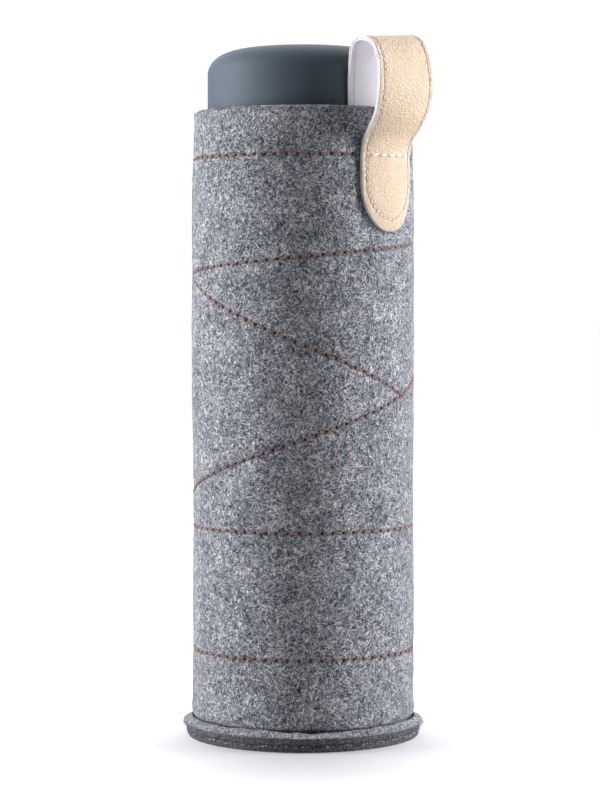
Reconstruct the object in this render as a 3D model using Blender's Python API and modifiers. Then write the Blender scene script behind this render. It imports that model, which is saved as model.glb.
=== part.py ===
"""Vacuum flask in a round wool-felt sleeve with a leather pull loop.

Metres, +Z up. The sleeve's axis is the Z axis and its underside is at z = 0. The pull loop faces -Y and
the sleeve's seam faces +Y. Angles round the sleeve are bearings: 0 at -Y, positive towards +X.
The flask stands inside the sleeve. Its cup lid screws on over a screw stopper.
"""

import math

import bpy
from mathutils import Vector

MM = 0.001
MERGE = 0.00005
TURN_STEPS = 36
GAP = 0.3 * MM

# Felt sleeve: a rolled wall on a base of two felt discs
SLEEVE_RADIUS = 40.8 * MM
FELT_THICKNESS = 2.75 * MM
SLEEVE_TOP = 229.6 * MM
RIM_ROUND = 0.8 * MM
SOLE_RADIUS = 42.7 * MM
SOLE_TOP = 2.45 * MM
FLANGE_RADIUS = 44.3 * MM
FLANGE_TOP = 5.3 * MM
FLANGE_LIP = 2.0 * MM
EDGE_ROUND = 1.0 * MM

# Topstitching on the sleeve: bearings in degrees, heights above the base
THREAD_RADIUS = 0.35 * MM
THREAD_STEP = 7.5
SEAM_MARGIN = 2.0
TOP_STITCH_HEIGHT = 212.3 * MM
MIDDLE_STITCH_HEIGHT = 78.2 * MM
LOWER_STITCH_HEIGHT = 32.9 * MM
ZIGZAG_UPPER_START = (178.0, 190.6 * MM)
ZIGZAG_LEFT_CORNER = (-132.0, 170.5 * MM)
ZIGZAG_UPPER_END = (13.0, 126.9 * MM)
ZIGZAG_LOWER_START = (178.0, 165.6 * MM)
ZIGZAG_LOWER_END = (-171.7, 80.2 * MM)

# Pull loop: leather outside, lining inside, one strip bent over and sewn through the sleeve's wall
STRAP_HALF_WIDTH = 13.3 * MM
STRAP_NECK_HALF_WIDTH = 12.3 * MM
STRAP_NECK_HEIGHT = 224.0 * MM
STRAP_NECK_REACH = 9.0 * MM
STRAP_END_REACH = 18.5 * MM
STRAP_TIP_HEIGHT = 185.0 * MM
LEATHER_THICKNESS = 1.2 * MM
LINING_THICKNESS = 0.7 * MM
STRAP_SPLIT = 0.2 * MM
STRAP_ROWS = 44
STRAP_COLUMNS = 6
STRAP_BACK_RADIUS = 36.8 * MM
STRAP_FRONT_RADIUS = 41.85 * MM
STRAP_LAST_ROW = 0.9975
EDGE_STITCH_INSET = 1.6 * MM
EDGE_STITCH_POINTS = 22
ANCHOR_INSET = 4.2 * MM
WRAP_END_BACK = 231.0 * MM
WRAP_END_FRONT = 213.0 * MM
LOOP_TOP = 252.0 * MM

# Flask
FLASK_RADIUS = 35.2 * MM
FLASK_WALL = 0.6 * MM
FLASK_FOOT = 6.3 * MM
FLASK_HEEL_ROUND = 3.5 * MM
FLASK_RECESS = 1.2 * MM
FLASK_SHOULDER = 188.0 * MM
SHOULDER_ROUND = 3.0 * MM
SHOULDER_TOP = 194.2 * MM
NECK_RADIUS = 26.2 * MM
NECK_FOOT = 196.0 * MM
NECK_TOP = 205.0 * MM
VESSEL_RADIUS = 31.4 * MM
VESSEL_WALL = 0.5 * MM
VESSEL_FLOOR = 12.0 * MM
VESSEL_HEEL_ROUND = 6.0 * MM
VESSEL_SHOULDER = 182.0 * MM
VESSEL_SHOULDER_ROUND = 4.0 * MM
VESSEL_NECK_RADIUS = 24.3 * MM
VESSEL_NECK_FOOT = 191.0 * MM
PAD_RADIUS = 27.5 * MM
PAD_THICKNESS = 1.4 * MM
COLLAR_RADIUS = 31.0 * MM

# Stopper
PLUG_RADIUS = 22.6 * MM
PLUG_WALL = 1.5 * MM
PLUG_FLOOR = 180.0 * MM
PLUG_CHAMFER = 2.0 * MM
PLUG_BORE = 19.6 * MM
GROOVE_RADIUS = 21.3 * MM
PLUG_FLANGE_RADIUS = 25.8 * MM
PLUG_TOP = 210.0 * MM
SEAL_LOW = 200.9 * MM
SEAL_HIGH = 203.7 * MM
SEAL_RADIUS = 23.3 * MM
GRIP_RADIUS = 19.5 * MM
GRIP_LOBES = 9
GRIP_LOBE_DEPTH = 1.2 * MM
GRIP_TOP = 228.0 * MM
GRIP_SIDES = 54

# Cup lid
LID_FOOT = 192.9 * MM
LID_TOP = 253.0 * MM
LID_ROUND = 9.5 * MM
LID_DOME = 0.9 * MM
LID_WALL = 1.3 * MM
LINER_RADIUS = 33.5 * MM
LINER_WALL = 0.8 * MM
LINER_FOOT = 194.5 * MM
GASKET_INNER = 34.0 * MM
GASKET_OUTER = 35.1 * MM
GASKET_FOOT = 191.2 * MM


def clear_scene():
    for item in list(bpy.data.objects):
        bpy.data.objects.remove(item)


def make_material(name, color, roughness, metallic=0.0):
    material = bpy.data.materials.new(name)
    material.use_nodes = True
    shader = material.node_tree.nodes["Principled BSDF"]
    shader.inputs["Base Color"].default_value = (*color, 1.0)
    shader.inputs["Roughness"].default_value = roughness
    shader.inputs["Metallic"].default_value = metallic
    material.diffuse_color = (*color, 1.0)
    return material


def make_materials():
    return {
        "felt": make_material("felt", (0.17, 0.175, 0.195), 0.95),
        "orange_thread": make_material("orange_thread", (0.45, 0.14, 0.04), 0.7),
        "leather": make_material("leather", (0.88, 0.68, 0.46), 0.55),
        "lining": make_material("lining", (0.58, 0.58, 0.66), 0.8),
        "cream_thread": make_material("cream_thread", (0.9, 0.85, 0.75), 0.7),
        "slate_plastic": make_material("slate_plastic", (0.085, 0.11, 0.14), 0.5),
        "slate_paint": make_material("slate_paint", (0.085, 0.11, 0.14), 0.45),
        "steel": make_material("steel", (0.6, 0.6, 0.6), 0.3, 1.0),
        "dark_plastic": make_material("dark_plastic", (0.03, 0.032, 0.036), 0.5),
        "foam": make_material("foam", (0.8, 0.78, 0.7), 0.9),
        "silicone": make_material("silicone", (0.35, 0.36, 0.38), 0.6),
    }


def make_collection():
    collection = bpy.data.collections.new("felt_sleeved_flask")
    bpy.context.scene.collection.children.link(collection)
    return collection


def add_part(name, data, material):
    part = bpy.data.objects.new(name, data)
    data.materials.append(material)
    PARTS.objects.link(part)
    return part


def turned(name, profile, material, closed=False):
    """Turns (radius, height) points about Z. The outer side runs from top to bottom."""
    mesh = bpy.data.meshes.new(name)
    count = len(profile)
    edges = [(i, i + 1) for i in range(count - 1)]
    if closed:
        edges.append((count - 1, 0))
    mesh.from_pydata([(radius, 0.0, height) for radius, height in profile], edges, [])
    part = add_part(name, mesh, material)
    screw = part.modifiers.new("Turn", "SCREW")
    screw.steps = TURN_STEPS
    screw.render_steps = TURN_STEPS
    screw.use_merge_vertices = True
    screw.merge_threshold = MERGE
    screw.use_smooth_shade = True
    return part


def ring(name, inner, outer, low, high, material):
    """A plain band between two radii and two heights."""
    profile = [(outer, high), (outer, low), (inner, low), (inner, high)]
    return turned(name, profile, material, closed=True)


def arc(radius, height, size, start, end, count):
    """Points of a quarter round, or part of one, in a profile. Degrees, 0 is outward and 90 is up."""
    angles = [math.radians(start + (end - start) * i / count) for i in range(count + 1)]
    return [(radius + size * math.cos(a), height + size * math.sin(a)) for a in angles]


def on_sleeve(bearing, height, radius):
    angle = math.radians(bearing)
    return Vector((radius * math.sin(angle), -radius * math.cos(angle), height))


def thread(name, points, radius, material, cyclic=False):
    """A thread as a thin four-sided tube through the points."""
    curve = bpy.data.curves.new(name, "CURVE")
    curve.dimensions = "3D"
    curve.render_resolution_u = 0
    curve.bevel_depth = radius
    curve.bevel_resolution = 0
    curve.use_fill_caps = not cyclic
    spline = curve.splines.new("POLY")
    spline.points.add(len(points) - 1)
    for target, point in zip(spline.points, points):
        target.co = (*point, 1.0)
    spline.use_cyclic_u = cyclic
    return add_part(name, curve, material)


def stitch_line(ends, radius):
    """Points along straight runs of stitching on the unrolled sleeve, from corner to corner."""
    points = []
    for (bearing_a, height_a), (bearing_b, height_b) in zip(ends, ends[1:]):
        count = max(2, math.ceil(abs(bearing_b - bearing_a) / THREAD_STEP))
        for i in range(count):
            t = i / count
            bearing = bearing_a + (bearing_b - bearing_a) * t
            points.append(on_sleeve(bearing, height_a + (height_b - height_a) * t, radius))
    points.append(on_sleeve(*ends[-1], radius))
    return points


# ---- felt sleeve ----

def make_felt_sleeve(material):
    inner = SLEEVE_RADIUS - FELT_THICKNESS
    top = SLEEVE_TOP - RIM_ROUND
    profile = arc(SLEEVE_RADIUS - RIM_ROUND, top, RIM_ROUND, 90, 0, 2)
    profile += [(SLEEVE_RADIUS, FLANGE_TOP + GAP), (inner, FLANGE_TOP + GAP)]
    profile += arc(inner + RIM_ROUND, top, RIM_ROUND, 180, 90, 2)
    turned("felt_sleeve", profile, material, closed=True)


def make_base(material):
    lip = SLEEVE_RADIUS + GAP
    flange = [(0.0, FLANGE_TOP), (lip, FLANGE_TOP), (lip, FLANGE_TOP + FLANGE_LIP)]
    flange += arc(FLANGE_RADIUS - EDGE_ROUND, FLANGE_TOP - EDGE_ROUND, EDGE_ROUND, 80, 0, 2)
    flange += [(FLANGE_RADIUS - EDGE_ROUND / 2, SOLE_TOP + GAP), (0.0, SOLE_TOP + GAP)]
    turned("base_flange", flange, material)
    sole = [(0.0, SOLE_TOP)]
    sole += arc(SOLE_RADIUS - EDGE_ROUND, SOLE_TOP - EDGE_ROUND, EDGE_ROUND, 90, 0, 2)
    sole += [(SOLE_RADIUS - EDGE_ROUND / 2, 0.0), (0.0, 0.0)]
    turned("base_sole", sole, material)


def make_sleeve_threads(material):
    radius = SLEEVE_RADIUS + GAP + THREAD_RADIUS
    seam = 180.0 - SEAM_MARGIN
    strap_edge = math.degrees(STRAP_HALF_WIDTH / SLEEVE_RADIUS) + SEAM_MARGIN
    runs = {
        "top_thread_left": [(-seam, TOP_STITCH_HEIGHT), (-strap_edge, TOP_STITCH_HEIGHT)],
        "top_thread_right": [(strap_edge, TOP_STITCH_HEIGHT), (seam, TOP_STITCH_HEIGHT)],
        "zigzag_thread_upper": [ZIGZAG_UPPER_START, ZIGZAG_LEFT_CORNER, ZIGZAG_UPPER_END],
        "zigzag_thread_lower": [ZIGZAG_LOWER_START, ZIGZAG_LOWER_END],
        "middle_thread": [(-seam, MIDDLE_STITCH_HEIGHT), (seam, MIDDLE_STITCH_HEIGHT)],
        "lower_thread": [(-seam, LOWER_STITCH_HEIGHT), (seam, LOWER_STITCH_HEIGHT)],
    }
    for name, ends in runs.items():
        thread(name, stitch_line(ends, radius), THREAD_RADIUS, material)


def make_seam_threads(material):
    radius = SLEEVE_RADIUS + GAP + THREAD_RADIUS
    low = FLANGE_TOP + FLANGE_LIP + 2 * THREAD_RADIUS + GAP
    heights = (low, SLEEVE_TOP - RIM_ROUND)
    points = [on_sleeve(180.0, height, radius) for height in heights]
    thread("back_seam_thread", points, THREAD_RADIUS, material)
    inside = SLEEVE_RADIUS - FELT_THICKNESS - GAP - THREAD_RADIUS
    low = FLANGE_TOP + GAP + THREAD_RADIUS
    base = [on_sleeve(360.0 * i / TURN_STEPS, low, inside) for i in range(TURN_STEPS)]
    thread("base_seam_thread", base, THREAD_RADIUS, material, cyclic=True)


# ---- pull loop ----

def loop_route():
    """The strap's side profile as (radius, height), from its hidden end up, over and down to its tip."""
    back = STRAP_BACK_RADIUS
    front = STRAP_FRONT_RADIUS
    return [
        (back, 203.0 * MM), (back, 212.0 * MM), (back, 222.0 * MM), (back, 232.0 * MM),
        (back + 0.2 * MM, 241.0 * MM), (back + 0.8 * MM, 248.5 * MM), (39.4 * MM, 252.4 * MM),
        (42.6 * MM, 253.9 * MM), (46.0 * MM, 251.6 * MM), (48.8 * MM, 246.4 * MM),
        (50.1 * MM, 239.5 * MM), (49.5 * MM, 231.6 * MM), (46.6 * MM, 225.6 * MM),
        (43.4 * MM, 220.8 * MM), (front, 215.0 * MM), (front, 208.0 * MM), (front, 196.0 * MM),
        (front, STRAP_TIP_HEIGHT),
    ]


def smooth_route(knots, steps=12):
    """A Catmull-Rom curve through the knots, as (radius, height) pairs."""
    padded = [knots[0]] + knots + [knots[-1]]
    points = []
    for a, b, c, d in zip(padded, padded[1:], padded[2:], padded[3:]):
        for i in range(steps):
            t = i / steps
            weights = (
                -0.5 * t + t * t - 0.5 * t ** 3,
                1.0 - 2.5 * t * t + 1.5 * t ** 3,
                0.5 * t + 2.0 * t * t - 1.5 * t ** 3,
                -0.5 * t * t + 0.5 * t ** 3,
            )
            pair = [sum(w * p[k] for w, p in zip(weights, (a, b, c, d))) for k in (0, 1)]
            points.append(tuple(pair))
    points.append(knots[-1])
    return points


class Strip:
    """The bent strap as a surface: a place for each distance along it, across it and off it."""

    def __init__(self):
        self.route = smooth_route(loop_route())
        self.lengths = [0.0]
        for a, b in zip(self.route, self.route[1:]):
            self.lengths.append(self.lengths[-1] + math.dist(a, b))
        self.length = self.lengths[-1]

    def side(self, along):
        """The radius, height and unit normal of the side profile, a distance along it."""
        along = min(max(along, 0.0), self.length)
        i = 0
        while i < len(self.lengths) - 2 and self.lengths[i + 1] < along:
            i += 1
        a, b = self.route[i], self.route[i + 1]
        t = (along - self.lengths[i]) / (self.lengths[i + 1] - self.lengths[i])
        run = math.dist(a, b)
        normal = (-(b[1] - a[1]) / run, (b[0] - a[0]) / run)
        return a[0] + (b[0] - a[0]) * t, a[1] + (b[1] - a[1]) * t, normal

    def half_width(self, along):
        """Half the strap's width: full, slightly necked over the rim, and a rounded tip."""
        _, height, _ = self.side(along)
        dip = math.exp(-(((height - STRAP_NECK_HEIGHT) / STRAP_NECK_REACH) ** 2))
        if along < 0.5 * self.length:
            dip = 0.0
        width = STRAP_HALF_WIDTH - (STRAP_HALF_WIDTH - STRAP_NECK_HALF_WIDTH) * dip
        left = self.length - along
        if left < STRAP_END_REACH:
            width *= math.sqrt(max(0.0, 1.0 - (1.0 - left / STRAP_END_REACH) ** 2))
        return width

    def wrap(self, along, height):
        """1 where the strap lies round the sleeve, falling to 0 where the loop stands free."""
        start = WRAP_END_BACK if along < 0.5 * self.length else WRAP_END_FRONT
        t = min(max((height - start) / (LOOP_TOP - start), 0.0), 1.0)
        return 1.0 - t * t * (3.0 - 2.0 * t)

    def place(self, along, across, off):
        """A point of the strap. off is the distance from its middle, positive outside the loop."""
        radius, height, normal = self.side(along)
        radius += off * normal[0]
        height += off * normal[1]
        wrap = self.wrap(along, height)
        bearing = across / STRAP_FRONT_RADIUS
        round_x, round_y = radius * math.sin(bearing), -radius * math.cos(bearing)
        x = across + (round_x - across) * wrap
        y = -radius + (round_y + radius) * wrap
        return Vector((x, y, height))


def make_strap_layer(name, strip, near, thickness, material):
    """One layer of the strap: a grid laid on the strip, thickened on the side away from near."""
    bpy.ops.mesh.primitive_grid_add(x_subdivisions=STRAP_COLUMNS, y_subdivisions=STRAP_ROWS, size=2)
    part = bpy.context.object
    part.name = name
    mesh = part.data
    mesh.name = name
    mesh.materials.append(material)
    for vertex in mesh.vertices:
        across, along = vertex.co.x, (vertex.co.y + 1.0) / 2.0
        along = math.sin(along * math.pi / 2.0) * 0.5 + along * 0.5
        along = min(along, STRAP_LAST_ROW) * strip.length
        vertex.co = strip.place(along, across * strip.half_width(along), near)
    solid = part.modifiers.new("Thickness", "SOLIDIFY")
    solid.thickness = thickness
    solid.offset = -1.0 if near > 0 else 1.0
    for owner in list(part.users_collection):
        owner.objects.unlink(part)
    PARTS.objects.link(part)
    mesh.shade_smooth()
    return part


def make_strap(leather, lining, cream_thread):
    strip = Strip()
    half_split = STRAP_SPLIT / 2
    make_strap_layer("strap_leather", strip, half_split, LEATHER_THICKNESS, leather)
    make_strap_layer("strap_lining", strip, -half_split, LINING_THICKNESS, lining)
    face = half_split + LEATHER_THICKNESS + GAP + THREAD_RADIUS
    start = strip.length * 0.5
    stop = strip.length - EDGE_STITCH_INSET
    steps = EDGE_STITCH_POINTS
    stations = [start + (stop - start) * i / steps for i in range(steps + 1)]

    def inset(along, side):
        width = strip.half_width(along) - EDGE_STITCH_INSET
        return strip.place(along, side * max(width, 0.5 * MM), face)

    down = [inset(along, -1.0) for along in stations]
    up = [inset(along, 1.0) for along in reversed(stations)]
    thread("strap_edge_thread", down + up, THREAD_RADIUS, cream_thread)
    low = strip.length - (TOP_STITCH_HEIGHT - STRAP_TIP_HEIGHT)
    width = strip.half_width(low) - ANCHOR_INSET
    row = [strip.place(low, width * (i / 4.0 - 1.0), face) for i in range(9)]
    thread("strap_anchor_thread", row, THREAD_RADIUS, cream_thread)


# ---- flask ----

def cup_profile(outer, wall):
    """A cup's closed profile from its outer side alone, axis to lip. Each inner point is set in by wall."""
    inner = []
    for i in range(1, len(outer) - 1):
        before, here, after = (Vector((*outer[k], 0.0)) for k in (i - 1, i, i + 1))
        one = (here - before).normalized()
        two = (after - here).normalized()
        middle = (one + two).normalized()
        normal = Vector((-middle.y, middle.x, 0.0))
        inner.append(here + normal * wall / max(0.3, middle.dot(one)))
    first = Vector((outer[0][0], outer[0][1] + wall, 0.0))
    last_run = (Vector((*outer[-1], 0.0)) - Vector((*outer[-2], 0.0))).normalized()
    last = Vector((*outer[-1], 0.0)) + Vector((-last_run.y, last_run.x, 0.0)) * wall
    inside = [first, *inner, last]
    return [(p.x, p.y) for p in inside] + list(reversed(outer))


def make_flask_shell(material):
    """The outer steel vessel: a foot ring round a shallow recess, a straight side, a shoulder and a neck."""
    recess = FLASK_FOOT + FLASK_RECESS
    heel, shoulder = FLASK_HEEL_ROUND, SHOULDER_ROUND
    outer = [(0.0, recess), (PAD_RADIUS + 2 * GAP, recess), (PAD_RADIUS + FLASK_RECESS, FLASK_FOOT)]
    outer += arc(FLASK_RADIUS - heel, FLASK_FOOT + heel, heel, -90, 0, 3)
    outer += arc(FLASK_RADIUS - shoulder, FLASK_SHOULDER, shoulder, 0, 60, 2)
    outer += [(NECK_RADIUS + SHOULDER_ROUND / 2, SHOULDER_TOP), (NECK_RADIUS, NECK_FOOT)]
    outer += [(NECK_RADIUS, NECK_TOP)]
    turned("flask_shell", cup_profile(outer, FLASK_WALL), material)


def make_inner_vessel(material):
    """The inner vessel, whose mouth turns out over the outer vessel's neck."""
    lip = NECK_TOP + GAP
    heel, shoulder = VESSEL_HEEL_ROUND, VESSEL_SHOULDER_ROUND
    outer = [(0.0, VESSEL_FLOOR)]
    outer += arc(VESSEL_RADIUS - heel, VESSEL_FLOOR + heel, heel, -90, 0, 3)
    outer += arc(VESSEL_RADIUS - shoulder, VESSEL_SHOULDER, shoulder, 0, 60, 2)
    outer += [(VESSEL_NECK_RADIUS, VESSEL_NECK_FOOT), (VESSEL_NECK_RADIUS, lip)]
    profile = cup_profile(outer, VESSEL_WALL)
    inside, outside = profile[: len(outer)], profile[len(outer):]
    top = lip + VESSEL_WALL
    inside[-1] = (VESSEL_NECK_RADIUS - VESSEL_WALL, top)
    rolled = [(NECK_RADIUS, top), (NECK_RADIUS, lip)]
    turned("inner_vessel", inside + rolled + outside, material)


def make_flask_trim(rubber, plastic):
    foot = FLANGE_TOP + GAP
    top = foot + PAD_THICKNESS
    turned("foot_pad", [(0.0, top), (PAD_RADIUS, top), (PAD_RADIUS, foot), (0.0, foot)], rubber)
    ring("neck_collar", NECK_RADIUS + GAP, COLLAR_RADIUS, NECK_FOOT, NECK_TOP, plastic)


# ---- stopper ----

def make_stopper(plastic, foam, silicone):
    """A hollow plug with a flange over the mouth, insulation inside it and a seal in its groove."""
    seat = NECK_TOP + VESSEL_WALL + 2 * GAP
    floor = PLUG_FLOOR + PLUG_WALL
    body = [
        (0.0, floor), (PLUG_BORE, floor), (PLUG_BORE, PLUG_TOP), (PLUG_FLANGE_RADIUS, PLUG_TOP),
        (PLUG_FLANGE_RADIUS, seat), (PLUG_RADIUS, seat), (PLUG_RADIUS, SEAL_HIGH + GAP),
        (GROOVE_RADIUS, SEAL_HIGH + GAP), (GROOVE_RADIUS, SEAL_LOW - GAP), (PLUG_RADIUS, SEAL_LOW - GAP),
        (PLUG_RADIUS, PLUG_FLOOR + PLUG_CHAMFER), (PLUG_RADIUS - PLUG_CHAMFER, PLUG_FLOOR),
        (0.0, PLUG_FLOOR),
    ]
    turned("stopper_body", body, plastic)
    core = PLUG_BORE - GAP
    low, high = floor + GAP, PLUG_TOP - 2 * GAP
    turned("stopper_core", [(0.0, high), (core, high), (core, low), (0.0, low)], foam)
    ring("stopper_seal", GROOVE_RADIUS + GAP, SEAL_RADIUS, SEAL_LOW, SEAL_HIGH, silicone)


def make_stopper_grip(material):
    """The knob: a capped cylinder whose side is drawn into lobes for the fingers."""
    low = PLUG_TOP + GAP
    bpy.ops.mesh.primitive_cylinder_add(
        vertices=GRIP_SIDES, radius=GRIP_RADIUS, depth=GRIP_TOP - low,
        location=(0.0, 0.0, (GRIP_TOP + low) / 2),
    )
    grip = bpy.context.object
    grip.name = "stopper_grip"
    grip.data.name = "stopper_grip"
    grip.data.materials.append(material)
    for vertex in grip.data.vertices:
        bearing = math.atan2(vertex.co.y, vertex.co.x)
        reach = GRIP_RADIUS + GRIP_LOBE_DEPTH * math.cos(GRIP_LOBES * bearing)
        vertex.co.x, vertex.co.y = reach * math.cos(bearing), reach * math.sin(bearing)
    for owner in list(grip.users_collection):
        owner.objects.unlink(grip)
    PARTS.objects.link(grip)


# ---- cup lid ----

def lid_outer(radius, top, size, foot):
    """A lid's outer side from its crown to its open edge: a slight dome, a rounded edge, a straight side."""
    crown = [(0.0, top), (0.55 * radius, top - 0.35 * LID_DOME)]
    return crown + arc(radius - size, top - LID_DOME - size, size, 86, 0, 5) + [(radius, foot)]


def make_cup_lid(plastic, steel, silicone):
    """The cup's slate shell, its steel liner and the ring that it closes on."""
    outer = lid_outer(FLASK_RADIUS, LID_TOP, LID_ROUND, LID_FOOT)
    inner = lid_outer(FLASK_RADIUS - LID_WALL, LID_TOP - LID_WALL, LID_ROUND - LID_WALL, LID_FOOT)
    turned("cup_lid_shell", outer + list(reversed(inner)), plastic)
    top = LID_TOP - LID_WALL - 2 * GAP
    size = LID_ROUND - LID_WALL - GAP
    outer = lid_outer(LINER_RADIUS, top, size, LINER_FOOT)
    inner = lid_outer(LINER_RADIUS - LINER_WALL, top - LINER_WALL, size - LINER_WALL, LINER_FOOT)
    turned("cup_lid_liner", outer + list(reversed(inner)), steel)
    ring("cup_lid_gasket", GASKET_INNER, GASKET_OUTER, GASKET_FOOT, LID_FOOT - GAP, silicone)


def build():
    materials = make_materials()
    make_felt_sleeve(materials["felt"])
    make_base(materials["felt"])
    make_sleeve_threads(materials["orange_thread"])
    make_seam_threads(materials["felt"])
    make_strap(materials["leather"], materials["lining"], materials["cream_thread"])
    make_flask_shell(materials["slate_paint"])
    make_inner_vessel(materials["steel"])
    make_flask_trim(materials["silicone"], materials["dark_plastic"])
    make_stopper(materials["dark_plastic"], materials["foam"], materials["silicone"])
    make_stopper_grip(materials["dark_plastic"])
    make_cup_lid(materials["slate_plastic"], materials["steel"], materials["silicone"])


clear_scene()
PARTS = make_collection()
build()
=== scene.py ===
"""Looks of an insulated flask in a round wool-felt sleeve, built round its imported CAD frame.

Metres, +Z up. The sleeve's axis is Z, the pull loop faces -Y and the sleeve's seam faces +Y.
Bearings run round the sleeve in degrees: 0 at -Y, positive towards +X.
"""

import logging
import math
from dataclasses import dataclass, field
from enum import Enum
from typing import Callable, Optional, Sequence

import bpy
import numpy as np
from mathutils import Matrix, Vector


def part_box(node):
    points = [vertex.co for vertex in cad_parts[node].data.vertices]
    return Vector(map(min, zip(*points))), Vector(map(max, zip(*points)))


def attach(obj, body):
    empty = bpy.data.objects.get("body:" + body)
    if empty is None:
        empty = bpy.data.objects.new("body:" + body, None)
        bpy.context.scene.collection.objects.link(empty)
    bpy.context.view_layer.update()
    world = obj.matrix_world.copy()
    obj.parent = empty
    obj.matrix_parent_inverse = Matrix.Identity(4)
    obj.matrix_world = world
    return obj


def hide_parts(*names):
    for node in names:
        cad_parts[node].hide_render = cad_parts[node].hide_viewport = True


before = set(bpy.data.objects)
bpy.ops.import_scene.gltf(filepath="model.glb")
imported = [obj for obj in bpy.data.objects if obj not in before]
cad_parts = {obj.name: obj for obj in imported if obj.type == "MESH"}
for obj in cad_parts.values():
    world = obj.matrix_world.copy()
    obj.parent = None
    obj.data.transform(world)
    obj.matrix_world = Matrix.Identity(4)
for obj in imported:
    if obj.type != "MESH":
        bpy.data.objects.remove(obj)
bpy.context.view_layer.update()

MM = 0.001
LOG = logging.getLogger("felt_flask")

Color = tuple[float, float, float]
Point2 = tuple[float, float]
Socket = bpy.types.NodeSocket
Material = bpy.types.Material
Piece = bpy.types.Object
Array = np.ndarray
Relief = Callable[[Array, Array], Array]


# ---------------------------------------------------------------- materials


class NodeSheet:
    """One material's node tree, with a short call for each kind of node."""

    def __init__(self, name: str) -> None:
        """Starts a material with a bare Principled shader.

        Args:
            name: the material's name.
        """
        self.material = bpy.data.materials.new(name)
        self.material.use_nodes = True
        self.tree = self.material.node_tree
        self.shader = self.tree.nodes["Principled BSDF"]

    def add(self, kind: str, **settings: object) -> bpy.types.Node:
        """Adds a node and sets its fields.

        Args:
            kind: the node's type name.
            **settings: fields to set on the node.

        Returns:
            The new node.
        """
        node = self.tree.nodes.new(kind)
        for key, value in settings.items():
            setattr(node, key, value)
        return node

    def feed(self, socket: Socket, value: object) -> None:
        """Links a socket into an input, or sets the input's value.

        Args:
            socket: the input.
            value: a socket to link, or a value to set.
        """
        if isinstance(value, Socket):
            self.tree.links.new(value, socket)
        else:
            socket.default_value = value

    def set(self, **inputs: object) -> None:
        """Sets or links the shader's inputs, named with underscores for spaces."""
        for key, value in inputs.items():
            self.feed(self.shader.inputs[key.replace("_", " ")], value)

    def math(self, operation: str, *values: object, clamp: bool = False) -> Socket:
        """A Math node.

        Args:
            operation: the node's operation.
            *values: sockets or numbers for its inputs.
            clamp: whether the result is held between 0 and 1.

        Returns:
            Its output.
        """
        node = self.add("ShaderNodeMath", operation=operation, use_clamp=clamp)
        for socket, value in zip(node.inputs, values):
            self.feed(socket, value)
        return node.outputs[0]

    def reach(self, first: Socket, second: Socket) -> Socket:
        """The distance that two offsets at right angles make, neither of them negative.

        Args:
            first, second: the offsets.

        Returns:
            Its output.
        """
        squares = [self.math("POWER", offset, 2.0) for offset in (first, second)]
        return self.math("SQRT", self.math("ADD", *squares))

    def vector(self, operation: str, *values: object) -> bpy.types.Node:
        """A Vector Math node, whose second input may be a vector and fourth a scale.

        Args:
            operation: the node's operation.
            *values: sockets or vectors for its inputs.

        Returns:
            The node.
        """
        node = self.add("ShaderNodeVectorMath", operation=operation)
        for socket, value in zip(node.inputs, values):
            self.feed(socket, value)
        return node

    def scaled(self, vector: Socket, scale: float) -> Socket:
        """A vector times a number.

        Args:
            vector: the vector.
            scale: the number.

        Returns:
            Its output.
        """
        node = self.add("ShaderNodeVectorMath", operation="SCALE")
        self.feed(node.inputs[0], vector)
        node.inputs["Scale"].default_value = scale
        return node.outputs[0]

    def uv(self, name: str) -> Socket:
        """The named UV map, turned from metres to millimetres."""
        return self.scaled(self.add("ShaderNodeUVMap", uv_map=name).outputs[0], 1.0 / MM)

    def place(self) -> Socket:
        """The object's own coordinates in millimetres."""
        return self.scaled(self.add("ShaderNodeTexCoord").outputs["Object"], 1.0 / MM)

    def noise(self, vector: Socket, scale: float, detail: float = 2.0, roughness: float = 0.5,
              distortion: float = 0.0) -> bpy.types.Node:
        """A Noise texture.

        Args:
            vector: where it is read.
            scale: features per millimetre.
            detail: octaves.
            roughness: how strong the finer octaves are.
            distortion: how far it is warped by itself.

        Returns:
            The node.
        """
        node = self.add("ShaderNodeTexNoise")
        self.feed(node.inputs["Vector"], vector)
        node.inputs["Scale"].default_value = scale
        node.inputs["Detail"].default_value = detail
        node.inputs["Roughness"].default_value = roughness
        node.inputs["Distortion"].default_value = distortion
        return node

    def voronoi(self, vector: Socket, scale: float, feature: str = "F1") -> Socket:
        """The distance output of a Voronoi texture.

        Args:
            vector: where it is read.
            scale: cells per millimetre.
            feature: which distance it gives.

        Returns:
            Its output.
        """
        node = self.add("ShaderNodeTexVoronoi", feature=feature)
        self.feed(node.inputs["Vector"], vector)
        node.inputs["Scale"].default_value = scale
        return node.outputs["Distance"]

    def turned(self, vector: Socket, angle: float, size: tuple[float, float, float]) -> Socket:
        """Coordinates turned about Z by an angle in degrees, then divided by a size on each axis.

        Args:
            vector: the coordinates.
            angle: degrees.
            size: the divisor on each axis.

        Returns:
            The new coordinates.
        """
        node = self.add("ShaderNodeMapping", vector_type="TEXTURE")
        self.feed(node.inputs["Vector"], vector)
        node.inputs["Rotation"].default_value = (0.0, 0.0, math.radians(angle))
        node.inputs["Scale"].default_value = size
        return node.outputs[0]

    def remap(self, value: Socket, low: float, high: float, to_low: float = 0.0, to_high: float = 1.0,
              smooth: bool = False) -> Socket:
        """A value's range moved onto another, and held there.

        Args:
            value: the value.
            low, high: its range, in either order.
            to_low, to_high: the range it is moved onto.
            smooth: whether it eases in and out.

        Returns:
            Its output.
        """
        kind = "SMOOTHSTEP" if smooth else "LINEAR"
        node = self.add("ShaderNodeMapRange", interpolation_type=kind)
        self.feed(node.inputs["Value"], value)
        for key, number in (("From Min", low), ("From Max", high), ("To Min", to_low), ("To Max", to_high)):
            node.inputs[key].default_value = number
        return node.outputs[0]

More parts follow.
